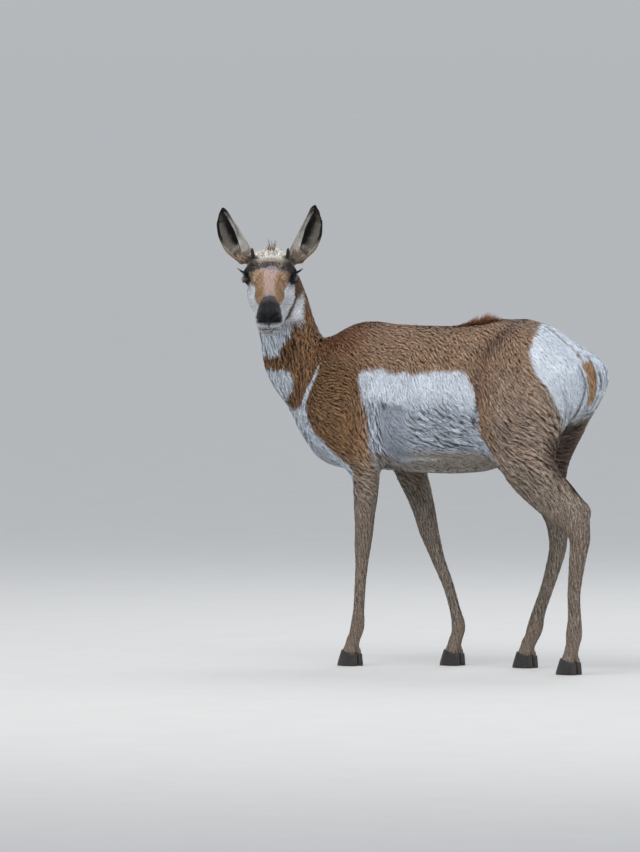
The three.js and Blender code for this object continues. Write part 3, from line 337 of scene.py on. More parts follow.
class Ear:
    def __init__(self, spec, s):
        self.o, self.s = hp(spec[0]), s
        A = unit(spec[1])
        B = np.asarray(spec[2], float)
        B = unit(B - A * (A @ B))
        C = np.cross(A, B)
        if C[1] * s < 0:
            C = -C
        self.M = np.array([A, B, C]) @ HF    # rows: along, out of the cup, sideways

    def where(self, P):
        q = (P - self.o) @ self.M.T
        a = q[:, 0]
        h = np.clip(a / EAR_LEN, 0, 1)
        ph = np.radians(np.interp(h, _eh, _EP))
        R = np.interp(h, _eh, _EW) / np.sin(np.minimum(ph, math.pi / 2))
        u = q[:, 1] - np.interp(h, _eh, _EB) - R * 0.55
        v = q[:, 2] - np.interp(h, _eh, _EC)
        return q, a, h, ph, R, u, v

    def d(self, P):
        q, a, h, ph, R, u, v = self.where(P)
        v = np.abs(v)
        th = np.arctan2(v, -u)
        d = np.where(th < ph, np.abs(np.hypot(u, v) - R), np.hypot(u + R * np.cos(ph), v - R * np.sin(ph)))
        edge = np.clip((th / ph - 0.55) / 0.45, 0, 1)
        shell = np.hypot(d, a - h * EAR_LEN) - np.interp(h, _eh, _ET) * (1 - 0.16 * edge)
        floor = np.sqrt(((a - 4) / 1.15) ** 2 + (q[:, 1] - 5) ** 2 + (q[:, 2] - 3) ** 2) - 17
        return smin(shell, floor, 10)


EARS = {"left": Ear(EAR_LEFT, 1), "right": Ear(EAR_RIGHT, -1)}
EYES = {"left": hp(EYE_AT), "right": hp([EYE_AT[0], -EYE_AT[1], EYE_AT[2]])}


def group(masses):
    return (masses, np.array([m[2] for m in masses]), np.array([m[3] for m in masses]))


BODY = group([mass(m) for m in CHEST] + [mass(m) for m in SHOULDER] + [mass(flip(m)) for m in SHOULDER])
NECKS = group(tube(NECK, 3, 10.0))
TAILS = group(tube(TAIL, 3, 0.01))
HEADS = group([head_mass(m, s) for m in HEAD for s in ((1, -1) if m[1][1] else (1,))])
LIMBS = [group(tube(t, 3, 0.01) + digits(FEET[f]) + [mass(m) for m in extra]) for t, extra, f in (
    (FORE_LEFT, [], "front_left"), (FORE_RIGHT, [], "front_right"), (HIND_LEFT, THIGH_LEFT, "hind_left"), (HIND_RIGHT, THIGH_RIGHT, "hind_right"))]


def blend(grp, P, c, r, start):
    masses, C, R = grp
    v = start
    for i in np.nonzero(((C - c) ** 2).sum(1) < (R + r + REACH) ** 2)[0]:
        d, k = masses[i][:2]
        e = d(P)
        v = smin(np.full(len(P), 1e3) if v is None else v, e, k)
    return v


def skin_chunk(P, c, r):
    f = blend(BODY, P, c, r, trunk_distance(P))
    n = blend(NECKS, P, c, r, None)
    if n is not None:
        f = smin(f, n, 50.0)
    out = f
    for limb in LIMBS:
        g = blend(limb, P, c, r, None)
        if g is not None:
            out = np.minimum(out, smin(f, g, 44.0))
    t = blend(TAILS, P, c, r, None)
    if t is not None:
        out = smin(out, t, 10.0)
    h = blend(HEADS, P, c, r, None)
    if h is not None:
        out = smin(out, h, 26.0)
    for e in EYES.values():
        if np.linalg.norm(c - e) < r + 90:
            out = smin(out, np.linalg.norm(P - e, axis=1) - (EYE_R + LID), 8.0)
    for e in EARS.values():
        if np.linalg.norm(c - e.o) < r + 240:
            out = smin(out, e.d(P), 16.0)
    return out


def chunked(fn, P, size=44.0):
    """fn(points, centre, radius) over small neighbourhoods, so that far masses are skipped"""
    P = np.asarray(P, float)
    out = np.empty(len(P))
    if not len(P):
        return out
    q = np.floor((P - P.min(0)) / size).astype(np.int64)
    n = q.max(0) + 1
    key = (q[:, 0] * n[1] + q[:, 1]) * n[2] + q[:, 2]
    order = np.argsort(key, kind="stable")
    cuts = np.nonzero(np.diff(key[order]))[0] + 1
    for idx in np.split(order, cuts):
        Q = P[idx]
        lo, hi = Q.min(0), Q.max(0)
        out[idx] = fn(Q, (lo + hi) / 2, np.linalg.norm(hi - lo) / 2)
    return out


def track(a, b, line):
    """distance from points (a, b) to a bent line in that plane"""
    out = np.full(len(a), 1e9)
    for (a0, b0), (a1, b1) in zip(line[:-1], line[1:]):
        da, db = a1 - a0, b1 - b0
        t = np.clip(((a - a0) * da + (b - b0) * db) / (da * da + db * db), 0, 1)
        out = np.minimum(out, np.hypot(a - a0 - t * da, b - b0 - t * db))
    return out


def forms(P):
    """hollows between muscles and bones, millimetres deep"""
    x, y, z = P.T
    ax = np.abs(x)
    out = np.zeros(len(P))
    # behind the elbow, under the ribs' edge
    edge = np.interp(y, [-175, -140, -100, -60, 0], [684, 672, 668, 662, 650])
    out += 8.5 * np.exp(-np.where(y < -134, (y + 134) / 22, (y + 134) / 62) ** 2) * smooth(4, -12, z - edge) * smooth(550, 630, z) * smooth(50, 80, ax)
    # fold in front of the thigh
    d = track(y, z, [(172, 585), (159, 627), (149, 670), (144, 705), (141, 750), (146, 788)])
    out += 5.5 * np.exp(-(d / 8.5) ** 2) * smooth(60, 85, ax) * smooth(556, 610, z)
    d = track(y, z, [(146, 788), (162, 807), (178, 833), (190, 854)])
    out += 3.2 * np.exp(-(d / 11.0) ** 2) * smooth(25, 50, ax) * smooth(866, 838, z)
    # loin, before the shoulder blade, behind it
    out += 4.0 * np.exp(-((y - 112) / 46) ** 2 - ((z - 788) / 26) ** 2) * smooth(45, 75, ax)
    out += 5.0 * np.exp(-((y + 326) / 30) ** 2 - ((z - 762) / 36) ** 2) * smooth(20, 45, ax)
    out += 2.6 * np.exp(-(track(y, z, [(-196, 800), (-186, 720), (-206, 640)]) / 13) ** 2) * smooth(45, 75, ax)
    out += 2.4 * np.exp(-(track(y, z, [(-262, 705), (-232, 640), (-224, 590)]) / 12) ** 2) * smooth(50, 75, ax)
    # before the great tendon of the hind leg
    d = np.where(x > 0, track(y, z, [(338, 520), (388, 468), (428, 408)]), track(y, z, [(238, 520), (252, 468), (266, 408)]))
    out += 4.2 * np.exp(-(d / 10.5) ** 2) * smooth(60, 80, ax)
    # seam between the thigh's two masses
    d = np.where(x > 0, track(y, z, [(322, 700), (316, 620), (338, 545)]), track(y, z, [(306, 700), (282, 620), (262, 545)]))
    out += 2.4 * np.exp(-(d / 12) ** 2) * smooth(50, 80, ax)
    # head
    near = np.nonzero((z > 850) & (y < -400))[0]
    if len(near):
        f, l, u = to_head(P[near]).T
        q = np.abs(l)
        o = 1.7 * np.exp(-((q - 16.5) / 4.5) ** 2) * smooth(52, 74, f) * smooth(160, 138, f) * smooth(-6, 6, u)
        o += 2.0 * np.exp(-(track(f, u, [(44, -24), (100, -30), (142, -37)]) / 5.5) ** 2) * smooth(18, 28, q)
        o += 3.0 * np.exp(-((f - 2) / 13) ** 2 - ((u - 17) / 11) ** 2) * smooth(30, 42, q)
        o += 2.2 * np.exp(-((f - 48) / 15) ** 2 - (q / 12) ** 2) * smooth(20, 34, u)
        o += 1.6 * np.exp(-(track(f, u, [(150, -22), (168, -32), (176, -44)]) / 4.5) ** 2) * smooth(14, 22, q)
        out[near] += o
    return out


def body(P):
    """distance to the coat's tips"""
    P = np.asarray(P, float)
    f = chunked(skin_chunk, P)
    near = np.abs(f) < 45
    f[near] += forms(P[near])
    return f


# ---------------------------------------------------------------- how deep the coat is
def coat_depth(P):
    h = to_head(P)
    z = P[:, 2]
    d = 7.0 + 1.5 * smooth(-300, -380, P[:, 1])                    # trunk, a little more on the neck
    low = smooth(520, 400, z)
    d = d * (1 - low) + 3.4 * low
    d = d - 1.0 * smooth(130, 60, z)
    tail = smooth(378, 392, P[:, 1]) * smooth(632, 652, z) * smooth(32, 24, np.abs(P[:, 0]))
    d = d * (1 - tail) + 5.0 * tail
    inside = smooth(-75, -30, h[:, 0]) * smooth(840, 880, z)
    face = 3.6 - 1.7 * smooth(70, 150, h[:, 0])
    d = d * (1 - inside) + face * inside
    near = np.minimum(np.linalg.norm(P - EYES["left"], axis=1), np.linalg.norm(P - EYES["right"], axis=1))
    d = d + (0.9 - d) * smooth(38, 26, near)
    for e in EARS.values():
        a = (P - e.o) @ e.M[0]
        m = smooth(8, 30, a) * smooth(90, 70, np.linalg.norm(P - (e.o + e.M[0] * 80), axis=1))
        d = d + (1.5 - d) * m
    return d


# ---------------------------------------------------------------- the eyes' openings, nostrils and mouth
def eye_frame(side):
    s = 1 if side == "left" else -1
    e = unit([EYE_OUT[0], s * EYE_OUT[1], EYE_OUT[2]])
    hz = unit(np.array([1, 0, 0]) - e * e[0])
    hz = unit(hz * 0.97 + np.cross(e, hz) * (-0.22 * s))
    vt = np.cross(e, hz)
    if vt[2] < 0:
        vt = -vt
    return np.array([hz, vt, e]) @ HF        # rows: toward the nose, up, outward


EYEF = {s: eye_frame(s) for s in ("left", "right")}


def eye_shape(a, b):
    """<1 inside the opening between the lids: an almond, fuller above, with a corner toward the nose"""
    A, B = EYE_OPEN
    bb = np.where(b > 0, b / (B * 0.98), b / (B * 0.86))
    aa = np.where(a > 0, a / (A * 1.04), a / (A * 0.97))
    return (np.abs(aa) ** 1.7 + np.abs(bb) ** 1.75) ** (1 / 1.72)


NOSTRIL = [[208.5, 5.5, -25.0, 3.0], [206.5, 10.5, -18.5, 4.6], [202.0, 17.5, -12.5, 4.8], [195.0, 23.0, -11.5, 3.4], [188.0, 26.0, -14.0, 1.8]]


def carve(P, g):
    """take the eye openings, nostrils and the mouth's line out of the skin field g"""
    h = to_head(P)
    near = np.nonzero((h[:, 0] > -20) & (h[:, 0] < 240) & (np.abs(h[:, 1]) < 95) & (np.abs(h[:, 2] + 10) < 95))[0]
    if not len(near):
        return g
    Q, v, H = P[near], g[near], h[near]
    for side in ("left", "right"):
        q = (Q - EYES[side]) @ EYEF[side].T
        r = np.linalg.norm(q, axis=1)
        op = (eye_shape(q[:, 0], q[:, 1]) - 1) * 10.0
        op = np.maximum(op, (EYE_R - 3.2) - r)
        op = np.maximum(op, 4 - q[:, 2])
        v = -smin(-v, op, 1.6)
        # folds over and under the eye
        ring = eye_shape(q[:, 0], q[:, 1])
        m = (q[:, 2] > 5) & (r < 40)
        v = v + np.where(m, 1.3 * np.exp(-((ring - 1.36) / 0.06) ** 2) * smooth(-4, 2, q[:, 1]) - 0.7 * np.exp(-((ring - 1.52) / 0.10) ** 2) * smooth(-4, 2, q[:, 1]) + 0.8 * np.exp(-((ring - 1.42) / 0.07) ** 2) * smooth(3, -3, q[:, 1]), 0.0)
        # tear pit before the eye
        pit = np.exp(-(((q[:, 0] - 22) / 6.0) ** 2 + ((q[:, 1] + 3.5) / 2.2) ** 2))
        v = v + np.where(m | (q[:, 0] > 14), 1.6 * pit * (q[:, 2] > 0), 0.0)
    A = np.array(NOSTRIL)
    S = H * np.array([1, 1, 1.0])
    S[:, 1] = np.abs(S[:, 1])
    for a, b in zip(A[:-1], A[1:]):
        ba = b[:3] - a[:3]
        t = np.clip(((S - a[:3]) @ ba) / (ba @ ba), 0, 1)
        d = np.linalg.norm(S - a[:3] - t[:, None] * ba, axis=1) - (a[3] + (b[3] - a[3]) * t)
        v = -smin(-v, d, 3.0)
    # groove of the mouth and the parting of the upper lip
    m = mouth(S)
    v = v + 2.2 * np.exp(-(m / 1.5) ** 2) * smooth(132, 146, S[:, 0])
    lip = np.exp(-(S[:, 1] / 1.4) ** 2) * smooth(-47, -43, S[:, 2]) * smooth(-20, -26, S[:, 2]) * (S[:, 0] > 185)
    v = v + 1.5 * lip
    g = g.copy()
    g[near] = v
    return g


def mouth(S):
    """height over the mouth's line, head frame"""
    line = -49.5 + 1.5 * smooth(196, 204, S[:, 0]) - 3.0 * smooth(176, 140, S[:, 0])
    return S[:, 2] - line


# ---------------------------------------------------------------- sampling and meshing
def ruler(lo, hi, step, a, b, fine):
    out = [lo]
    while out[-1] < hi:
        s = fine if a <= out[-1] < b else step
        # step down and up gently, so that neighbouring cells don't differ too much
        gap = max(a - out[-1], out[-1] - b, 0)
        s = min(step, max(s, fine + gap * 0.35)) if gap > 0 else s
        out.append(out[-1] + s)
    return np.array(out)


class Grid:
    """the body's distance on a rectilinear grid, exact near the surface"""

    def __init__(self, xs, ys, zs, B=8):
        self.G = (xs, ys, zs)
        n = [len(g) for g in self.G]
        self.F = F = np.full(n, 1e3, np.float32)
        cells = [list(range(0, m, B)) for m in n]
        mid = [np.array([(g[i] + g[min(i + B, len(g) - 1)]) / 2 for i in c]) for g, c in zip(self.G, cells)]
        hal = [np.array([(g[min(i + B, len(g) - 1)] - g[i]) / 2 for i in c]) for g, c in zip(self.G, cells)]
        C = np.stack(np.meshgrid(*mid, indexing="ij"), -1).reshape(-1, 3)
        H = np.linalg.norm(np.stack(np.meshgrid(*hal, indexing="ij"), -1).reshape(-1, 3), axis=1)
        d = chunked(skin_chunk, C, 120.0)
        near = np.abs(d) < H * 1.3 + 20
        nb = [len(c) for c in cells]
        big = d.reshape(nb).astype(np.float32)
        F[:] = np.repeat(np.repeat(np.repeat(big, B, 0), B, 1), B, 2)[:n[0], :n[1], :n[2]]
        total = 0
        for b in np.nonzero(near)[0]:
            i, j, k = np.unravel_index(b, nb)
            sl = tuple(slice(c[q], min(c[q] + B, m)) for c, q, m in zip(cells, (i, j, k), n))
            g = np.stack(np.meshgrid(*[a[s] for a, s in zip(self.G, sl)], indexing="ij"), -1)
            F[sl] = skin_chunk(g.reshape(-1, 3), C[b], H[b]).reshape(g.shape[:3])
            total += g.shape[0] * g.shape[1] * g.shape[2]
        say("distance samples", total, "grid", n)

    def at(self, P, want_gradient=True):
        """distance and its gradient between the grid's points"""
        idx, t, w = [], [], []
        for c in range(3):
            g = self.G[c]
            i = np.clip(np.searchsorted(g, P[:, c]) - 1, 0, len(g) - 2)
            step = g[i + 1] - g[i]
            idx.append(i)
            t.append(np.clip((P[:, c] - g[i]) / step, 0, 1))
            w.append(step)
        i, j, k = idx
        F = self.F
        c = [[[F[i + a, j + b, k + d] for d in (0, 1)] for b in (0, 1)] for a in (0, 1)]
        x, y, z = t
        # along z
        e = [[c[a][b][0] * (1 - z) + c[a][b][1] * z for b in (0, 1)] for a in (0, 1)]
        f = [e[a][0] * (1 - y) + e[a][1] * y for a in (0, 1)]
        val = f[0] * (1 - x) + f[1] * x
        if not want_gradient:
            return val
        gx = (f[1] - f[0]) / w[0]
        gy = ((e[0][1] - e[0][0]) * (1 - x) + (e[1][1] - e[1][0]) * x) / w[1]
        dz = [[c[a][b][1] - c[a][b][0] for b in (0, 1)] for a in (0, 1)]
        gz = ((dz[0][0] * (1 - y) + dz[0][1] * y) * (1 - x) + (dz[1][0] * (1 - y) + dz[1][1] * y) * x) / w[2]
        return val, np.stack([gx, gy, gz], 1)


def surface_nets(F, G):
    nx, ny, nz = F.shape
    S = F < 0
    ids, pts, quads = [], [], []
    for ax in range(3):
        a, b = [slice(None)] * 3, [slice(None)] * 3
        a[ax], b[ax] = slice(0, -1), slice(1, None)
        I = np.stack(np.nonzero(S[tuple(a)] != S[tuple(b)]), 1)
        J = I.copy()
        J[:, ax] += 1
        f0, f1 = F[tuple(I.T)].astype(float), F[tuple(J.T)].astype(float)
        t = f0 / (f0 - f1)
        p = np.stack([G[c][I[:, c]] for c in range(3)], 1).astype(float)
        p[:, ax] += t * (G[ax][J[:, ax]] - G[ax][I[:, ax]])
        o1, o2 = [(1, 2), (2, 0), (0, 1)][ax]
        ok = (I[:, o1] > 0) & (I[:, o2] > 0) & (I[:, o1] < F.shape[o1] - 1) & (I[:, o2] < F.shape[o2] - 1)
        I, p, inside = I[ok], p[ok], f0[ok] < 0
        cells = []
        for d1, d2 in ((-1, -1), (0, -1), (0, 0), (-1, 0)):
            c = I.copy()
            c[:, o1] += d1
            c[:, o2] += d2
            ci = (c[:, 0] * (ny - 1) + c[:, 1]) * (nz - 1) + c[:, 2]
            cells.append(ci)
            ids.append(ci)
            pts.append(p)
        q = np.stack(cells, 1)
        q[~inside] = q[~inside][:, ::-1]
        quads.append(q)
    ids, pts = np.concatenate(ids), np.concatenate(pts)
    u, inv = np.unique(ids, return_inverse=True)
    n = np.bincount(inv, minlength=len(u)).astype(float)
    V = np.stack([np.bincount(inv, pts[:, c], len(u)) / n for c in range(3)], 1)
    return V, np.searchsorted(u, np.concatenate(quads))


say("tables ready")
xs = ruler(-182, 236, COARSE, -48, 226, FINE)
ys = ruler(-672, 496, COARSE, -664, -425, FINE)
zs = ruler(8, 1198, COARSE, 856, 1190, FINE)
grid = Grid(xs, ys, zs)
say("distance grid")


def skin_field(P, f):
    return carve(P, f + coat_depth(P))


# field of the skin near the surface only
G3 = np.argwhere(np.abs(grid.F) < 24)
GP = np.stack([grid.G[c][G3[:, c]] for c in range(3)], 1)
S = grid.F.copy()
S[tuple(G3.T)] = skin_field(GP, grid.F[tuple(G3.T)].astype(float))
far = np.abs(grid.F) >= 24
S[far] = grid.F[far]
V, Q = surface_nets(S, grid.G)
say("skin", len(V), "corners", len(Q), "quads")


# ---------------------------------------------------------------- corners and faces of the skin
for _ in range(2):
    idx, tt, ww = [], [], []
    keep_F = grid.F
    grid.F = S
    val, grad = grid.at(V)
    grid.F = keep_F
    step = -val[:, None] * grad / np.maximum((grad * grad).sum(1), 0.15)[:, None]
    ln = np.linalg.norm(step, axis=1, keepdims=True)
    V = V + step * np.minimum(1, 1.2 / np.maximum(ln, 1e-9))
TR = np.concatenate([Q[:, [0, 1, 2]], Q[:, [0, 2, 3]]])
fn_ = np.cross(V[TR[:, 1]] - V[TR[:, 0]], V[TR[:, 2]] - V[TR[:, 0]])
area = np.linalg.norm(fn_, axis=1) / 2
VN = np.zeros_like(V)
for c in range(3):
    for k in range(3):
        VN[:, c] += np.bincount(TR[:, k], fn_[:, c], len(V))
VN = unit(VN)
say("skin area m2 %.3f" % (area.sum() / 1e6), "triangles", len(TR))


# ---------------------------------------------------------------- markings: one function of place
def lin(c):
    c = np.asarray(c, float) / 255.0
    return np.where(c <= 0.04045, c / 12.92, ((c + 0.055) / 1.055) ** 2.4)


def mix(a, b, w):
    return a + (b - a) * w[:, None]


NZ, NX, NY = [list(t) for t in zip(*[(p[2], p[0], p[1]) for p in NECK])]
BROWN = {  # colour of the tips, colour between the locks (darker underfur, with painted shade of the gaps in it)
    "back": (lin([192, 148, 114]), lin([56, 32, 20])),
    "shoulder": (lin([152, 108, 60]), lin([36, 18, 6])),
    "withers": (lin([146, 92, 48]), lin([44, 20, 6])),
    "thigh": (lin([192, 164, 142]), lin([52, 34, 22])),
    "leg": (lin([164, 146, 130]), lin([92, 76, 64])),
    "neck": (lin([152, 106, 58]), lin([46, 26, 12])),
    "mane": (lin([174, 126, 78]), lin([50, 27, 12])),
    "dark": (lin([86, 60, 42]), lin([34, 20, 12])),
    "streak": (lin([128, 104, 90]), lin([70, 54, 46])),
    "rust": (lin([196, 134, 78]), lin([112, 62, 28])),
    "white": (lin([230, 238, 248]), lin([136, 142, 152])),
    # painted shade on the white fur, low on the flank and chest
    "cool": (lin([206, 215, 227]), lin([76, 76, 82])),
    # painted shade: smooth grey-blue white of the hollow behind the elbow
    "calm": (lin([156, 163, 175]), lin([104, 108, 118])),
    # painted shade in creases and folds
    "crack": (lin([92, 88, 90]), lin([40, 36, 38])),
    # painted shade: the underside's white darkened to grey-brown
    "belly": (lin([152, 141, 128]), lin([74, 66, 58])),
}


def body_marks(P, N):
    x, y, z = np.abs(P[:, 0]), P[:, 1], P[:, 2]
    sx = P[:, 0]
    out = N[:, 0] * np.sign(sx)                                   # outward-facing
    ragged = noise(P, 26, 1) * 4 + noise(P, 8, 2) * 3
    tip = np.repeat(BROWN["back"][0][None], len(P), 0)
    root = np.repeat(BROWN["back"][1][None], len(P), 0)

    def put(name, w):
        nonlocal tip, root
        tip, root = mix(tip, BROWN[name][0], w), mix(root, BROWN[name][1], w)

    put("withers", smooth(-190, -280, y) * smooth(730, 810, z))
    put("shoulder", smooth(-175, -235, y) * smooth(815, 740, z) * smooth(470, 540, z))
    put("thigh", smooth(160, 230, y) * smooth(830, 640, z))
    leg = smooth(560, 440, z)
    put("leg", leg)
    # paler underfur low on the thigh, darker along the spine
    put("dark", 0.22 * smooth(60, 20, x) * smooth(835, 850, z))
    # legs: dark brown back edge high on the hind leg, partly its own brown and partly painted shade on the rear-facing
    # side
    rear = smooth(0.35, 0.75, N[:, 1]) * smooth(430, 500, z) * smooth(620, 585, z) * smooth(150, 220, y)
    put("dark", 0.85 * rear)
    # painted shade on the inward-facing sides of the upper legs
    put("dark", 0.5 * smooth(0.25, -0.25, out) * smooth(330, 430, z) * smooth(540, 490, z))
    # white
    top = np.interp(y, [-235, -225, -205, -188, -100, -36, 22, 78, 108, 128, 140, 148], [690, 735, 748, 752, 742, 742, 752, 753, 742, 716, 696, 650])
    front = np.interp(z, [480, 545, 585, 620, 655, 679, 719, 740], [-176, -184, -185, -187, -192, -204, -223, -226])
    back = np.interp(z, [500, 532, 564, 601, 636, 658, 691, 712], [222, 199, 178, 152, 146, 153, 148, 141])
    s = np.minimum(np.minimum(top - z, y - front), back - y) + ragged
    flank = smooth(-8, 8, s)
    on_leg = smooth(505, 490, z) * smooth(30, 42, x)
    under = smooth(560, 525, z) * smooth(0.1, -0.35, N[:, 2]) * (y > -420) * smooth(250, 215, y) * smooth(108, 92, x) * (1 - on_leg)
    sh = np.interp(z, [500, 513, 542, 604, 640, 666, 729, 754], [-238, -249, -296, -359, -380, -391, -365, -362])
    nb = np.interp(y, [-500, -495, -453, -415, -403, -377, -362], [676, 673, 654, 655, 678, 729, 760])
    chest = smooth(-5, 5, np.minimum(sh - y, nb - z) + ragged * 0.7) * (y < -230) * smooth(440, 470, z + x * 0.3)
    inner = smooth(0.15, -0.35, out) * smooth(590, 560, z)
    white = np.maximum.reduce([flank * (1 - on_leg), under, chest * smooth(0.95, 0.6, out * smooth(520, 480, z))])
    # pale inside of the legs, and a pale stripe along the back edge of the foreleg
    edge = smooth(0.45, 0.8, N[:, 1]) * smooth(330, 420, z) * smooth(-60, -110, y) * (y > -300)
    pale = np.maximum(inner * smooth(90, 130, z) * 0.62, edge * 0.75) * leg
    u = 0.819 * y - 0.574 * x
    ue = np.interp(z, [560, 590, 610, 630, 674, 709, 738, 775, 809, 843, 868, 900], [285, 266, 267, 262, 241, 223.5, 198, 181, 179.5, 190, 206, 212])
    rump = smooth(-5, 6, u - ue + ragged * 0.8) * smooth(560, 590, z) * (y > 150)
    midline = np.interp(z, [780, 845], [15, 10])
    crease = np.exp(-((sx - midline + noise(P, 9, 41) * 2) / 3.2) ** 2) * smooth(776, 790, z) * smooth(858, 846, z) * (y > 240)
    half = np.interp(z, [676, 690, 735, 772, 784], [3, 8, 12, 9, 4])
    dorsal = smooth(half + 9, half + 1, np.abs(sx - 5) + noise(P, 6, 43) * 7) * smooth(0.1, 0.5, N[:, 1] + 0.6 * N[:, 2]) * (y > 370) * smooth(672, 686, z) * smooth(790, 776, z)
    cleft = np.exp(-((x - np.interp(z, [600, 648, 747, 775], [28, 31, 38, 42])) / 4.6) ** 2) * (y > 340) * smooth(585, 620, z) * smooth(776, 752, z)
    cleft2 = np.exp(-((x - np.interp(z, [640, 655, 704, 716], [84, 84, 95, 97])) / 4.0) ** 2) * (y > 370) * smooth(640, 650, z) * smooth(722, 706, z)
    inthigh = smooth(0.2, -0.3, out) * smooth(660, 620, z) * smooth(430, 520, z) * smooth(140, 200, y) * smooth(0.25, -0.15, N[:, 1])
    inrear = smooth(0.5, 0.0, out) * smooth(0.05, 0.4, N[:, 1]) * smooth(420, 470, z) * smooth(625, 600, z) * smooth(150, 200, y)
    white = np.maximum.reduce([white, rump, inthigh * 0.8])
    put("white", white)
    low = flank * (1 - on_leg)
    pk, st, es, bl = flank_zones(P, out)
    # painted shade: the flank's white greys towards the bottom, and the lower chest a little
    put("cool", 0.85 * np.clip(low * smooth(700, 640, z) + 0.5 * chest * smooth(640, 560, z), 0, 1))
    # painted shade turns the underside and the lowest flank grey-brown; the same grey-brown is also the pale colour of
    # the inside of the legs and of the stripe on the foreleg's back edge
    put("belly", np.maximum(np.maximum(smooth(560, 536, z) * low, under * smooth(570, 530, z)) * (y > -200) * 0.95, pale))
    # painted shade in the smooth hollow behind the elbow
    put("calm", 0.9 * pk)
    # painted highlight: a thin light streak along the side of the belly
    put("white", 0.5 * np.exp(-((z - 529) / 4.0) ** 2) * smooth(-125, -105, y) * smooth(20, -15, y) * (out > 0.2) * (1 - on_leg))
    # painted shade: the lower rump's white greyed, unevenly
    put("belly", 0.85 * rump * smooth(690, 625, z) * (0.6 + 0.6 * noise(P, 12, 46)))
    # painted shade in the cleft between the buttocks and in a fold of each buttock
    put("crack", 0.9 * np.clip(cleft * smooth(-0.5, 0.1, noise(P, 14, 47) + 0.3) + 0.35 * cleft2, 0, 1))
    put("leg", 0.35 * smooth(600, 700, z) * smooth(0.3, 0.9, N[:, 1]) * smooth(330, 400, z) * 0)
    # dark brown on the inner rear of the hind thighs: partly their own brown, partly painted shade
    put("dark", inrear * 0.95)
    put("streak", rump * crease * 0.85)
    put("mane", dorsal * 0.95)
    # raised rusty tuft on the back; dark spots of painted shade at the flank fold
    rust = np.exp(-(((y - 68) / 58) ** 4)) * smooth(26, 6, x + noise(P, 6, 52) * 5) * smooth(842, 850, z)
    put("rust", rust)
    spot = 1.6 * np.exp(-(((y - 131) / 8.5) ** 2 + ((z - 627) / 11) ** 2)) + 0.8 * np.exp(-(((y - 146 - 0.4 * (z - 662)) / 5.0) ** 2 + ((z - 662) / 11) ** 2))
    # painted shadow in the notch behind the elbow, and a painted shadow line running back from it
    elbow_notch_shadow = np.exp(-(((y + 139) / 8) ** 2 + ((z - 666) / 9) ** 2)) + 0.5 * np.exp(-((z - np.interp(y, [-139, -84], [662, 657])) / 5.5) ** 2) * smooth(-146, -136, y) * smooth(-70, -98, y)
    put("crack", np.clip(spot * 1.3 + elbow_notch_shadow * 0.9, 0, 1) * (x > 45) * (1 - on_leg))
    # painted shade along the fold in front of the thigh and in a wider band beside it, strongest on the loin
    fold = np.exp(-((y - np.interp(z, [585, 627, 670, 705, 750, 788, 807, 833, 854], [172, 159, 149, 144, 141, 148, 162, 178, 190])) / 7.5) ** 2) * smooth(600, 640, z)
    wide = np.exp(-((y - np.interp(z, [627, 670, 705, 750, 788, 807, 833, 854], [159, 152, 148, 146, 156, 168, 184, 196])) / 32.0) ** 2) * smooth(640, 700, z) * (1 - white)
    put("dark", 0.34 * wide + 0.28 * wide * smooth(765, 800, z))
    root = root * (1 - 0.15 * fold[:, None])
    tip = tip * (1 - 0.08 * fold[:, None])
    return tip, root, white, dict(rust=rust, rump=rump, fold=fold)


def flank_zones(P, out):
    """the smooth hollow behind the elbow, the broad locks low on the ribs, the white strip on the elbow, the belly"""
    x, y, z = np.abs(P[:, 0]), P[:, 1], P[:, 2]
    side = smooth(40, 70, x) * smooth(0.1, 0.35, out)
    wob = noise(P, 17, 44) * 6
    pk = smooth(-152, -140, y) * smooth(-42, -98, y + wob * 2) * smooth(676, 652, z + wob) * smooth(505, 545, z) * side
    st = smooth(-74, -52, y + wob) * smooth(132, 102, y) * smooth(546, 560, z) * smooth(9, -9, z + wob - np.interp(y, [-70, -20, 32, 80, 120], [640, 655, 673, 668, 655])) * side
    es = smooth(-206, -192, y) * smooth(-138, -152, y) * smooth(520, 545, z) * smooth(690, 665, z) * side
    bl = smooth(556, 540, z) * smooth(-160, -135, y) * smooth(215, 190, y) * (z > 440) * smooth(140, 110, x)
    return pk, st, es, bl


def neck_angles(P):
    cx, cy = np.interp(P[:, 2], NZ, NX), np.interp(P[:, 2], NZ, NY)
    al = np.degrees(np.arctan2(P[:, 0] - cx, -(P[:, 1] - cy)))
    av = np.interp(P[:, 2], [650, 673, 704, 734, 750, 800, 830, 860, 900, 950], [0, 10, 26, 38, 42, 50, 70, 85, 105, 115])
    be = (al - av + 180) % 360 - 180
    return al, av, be


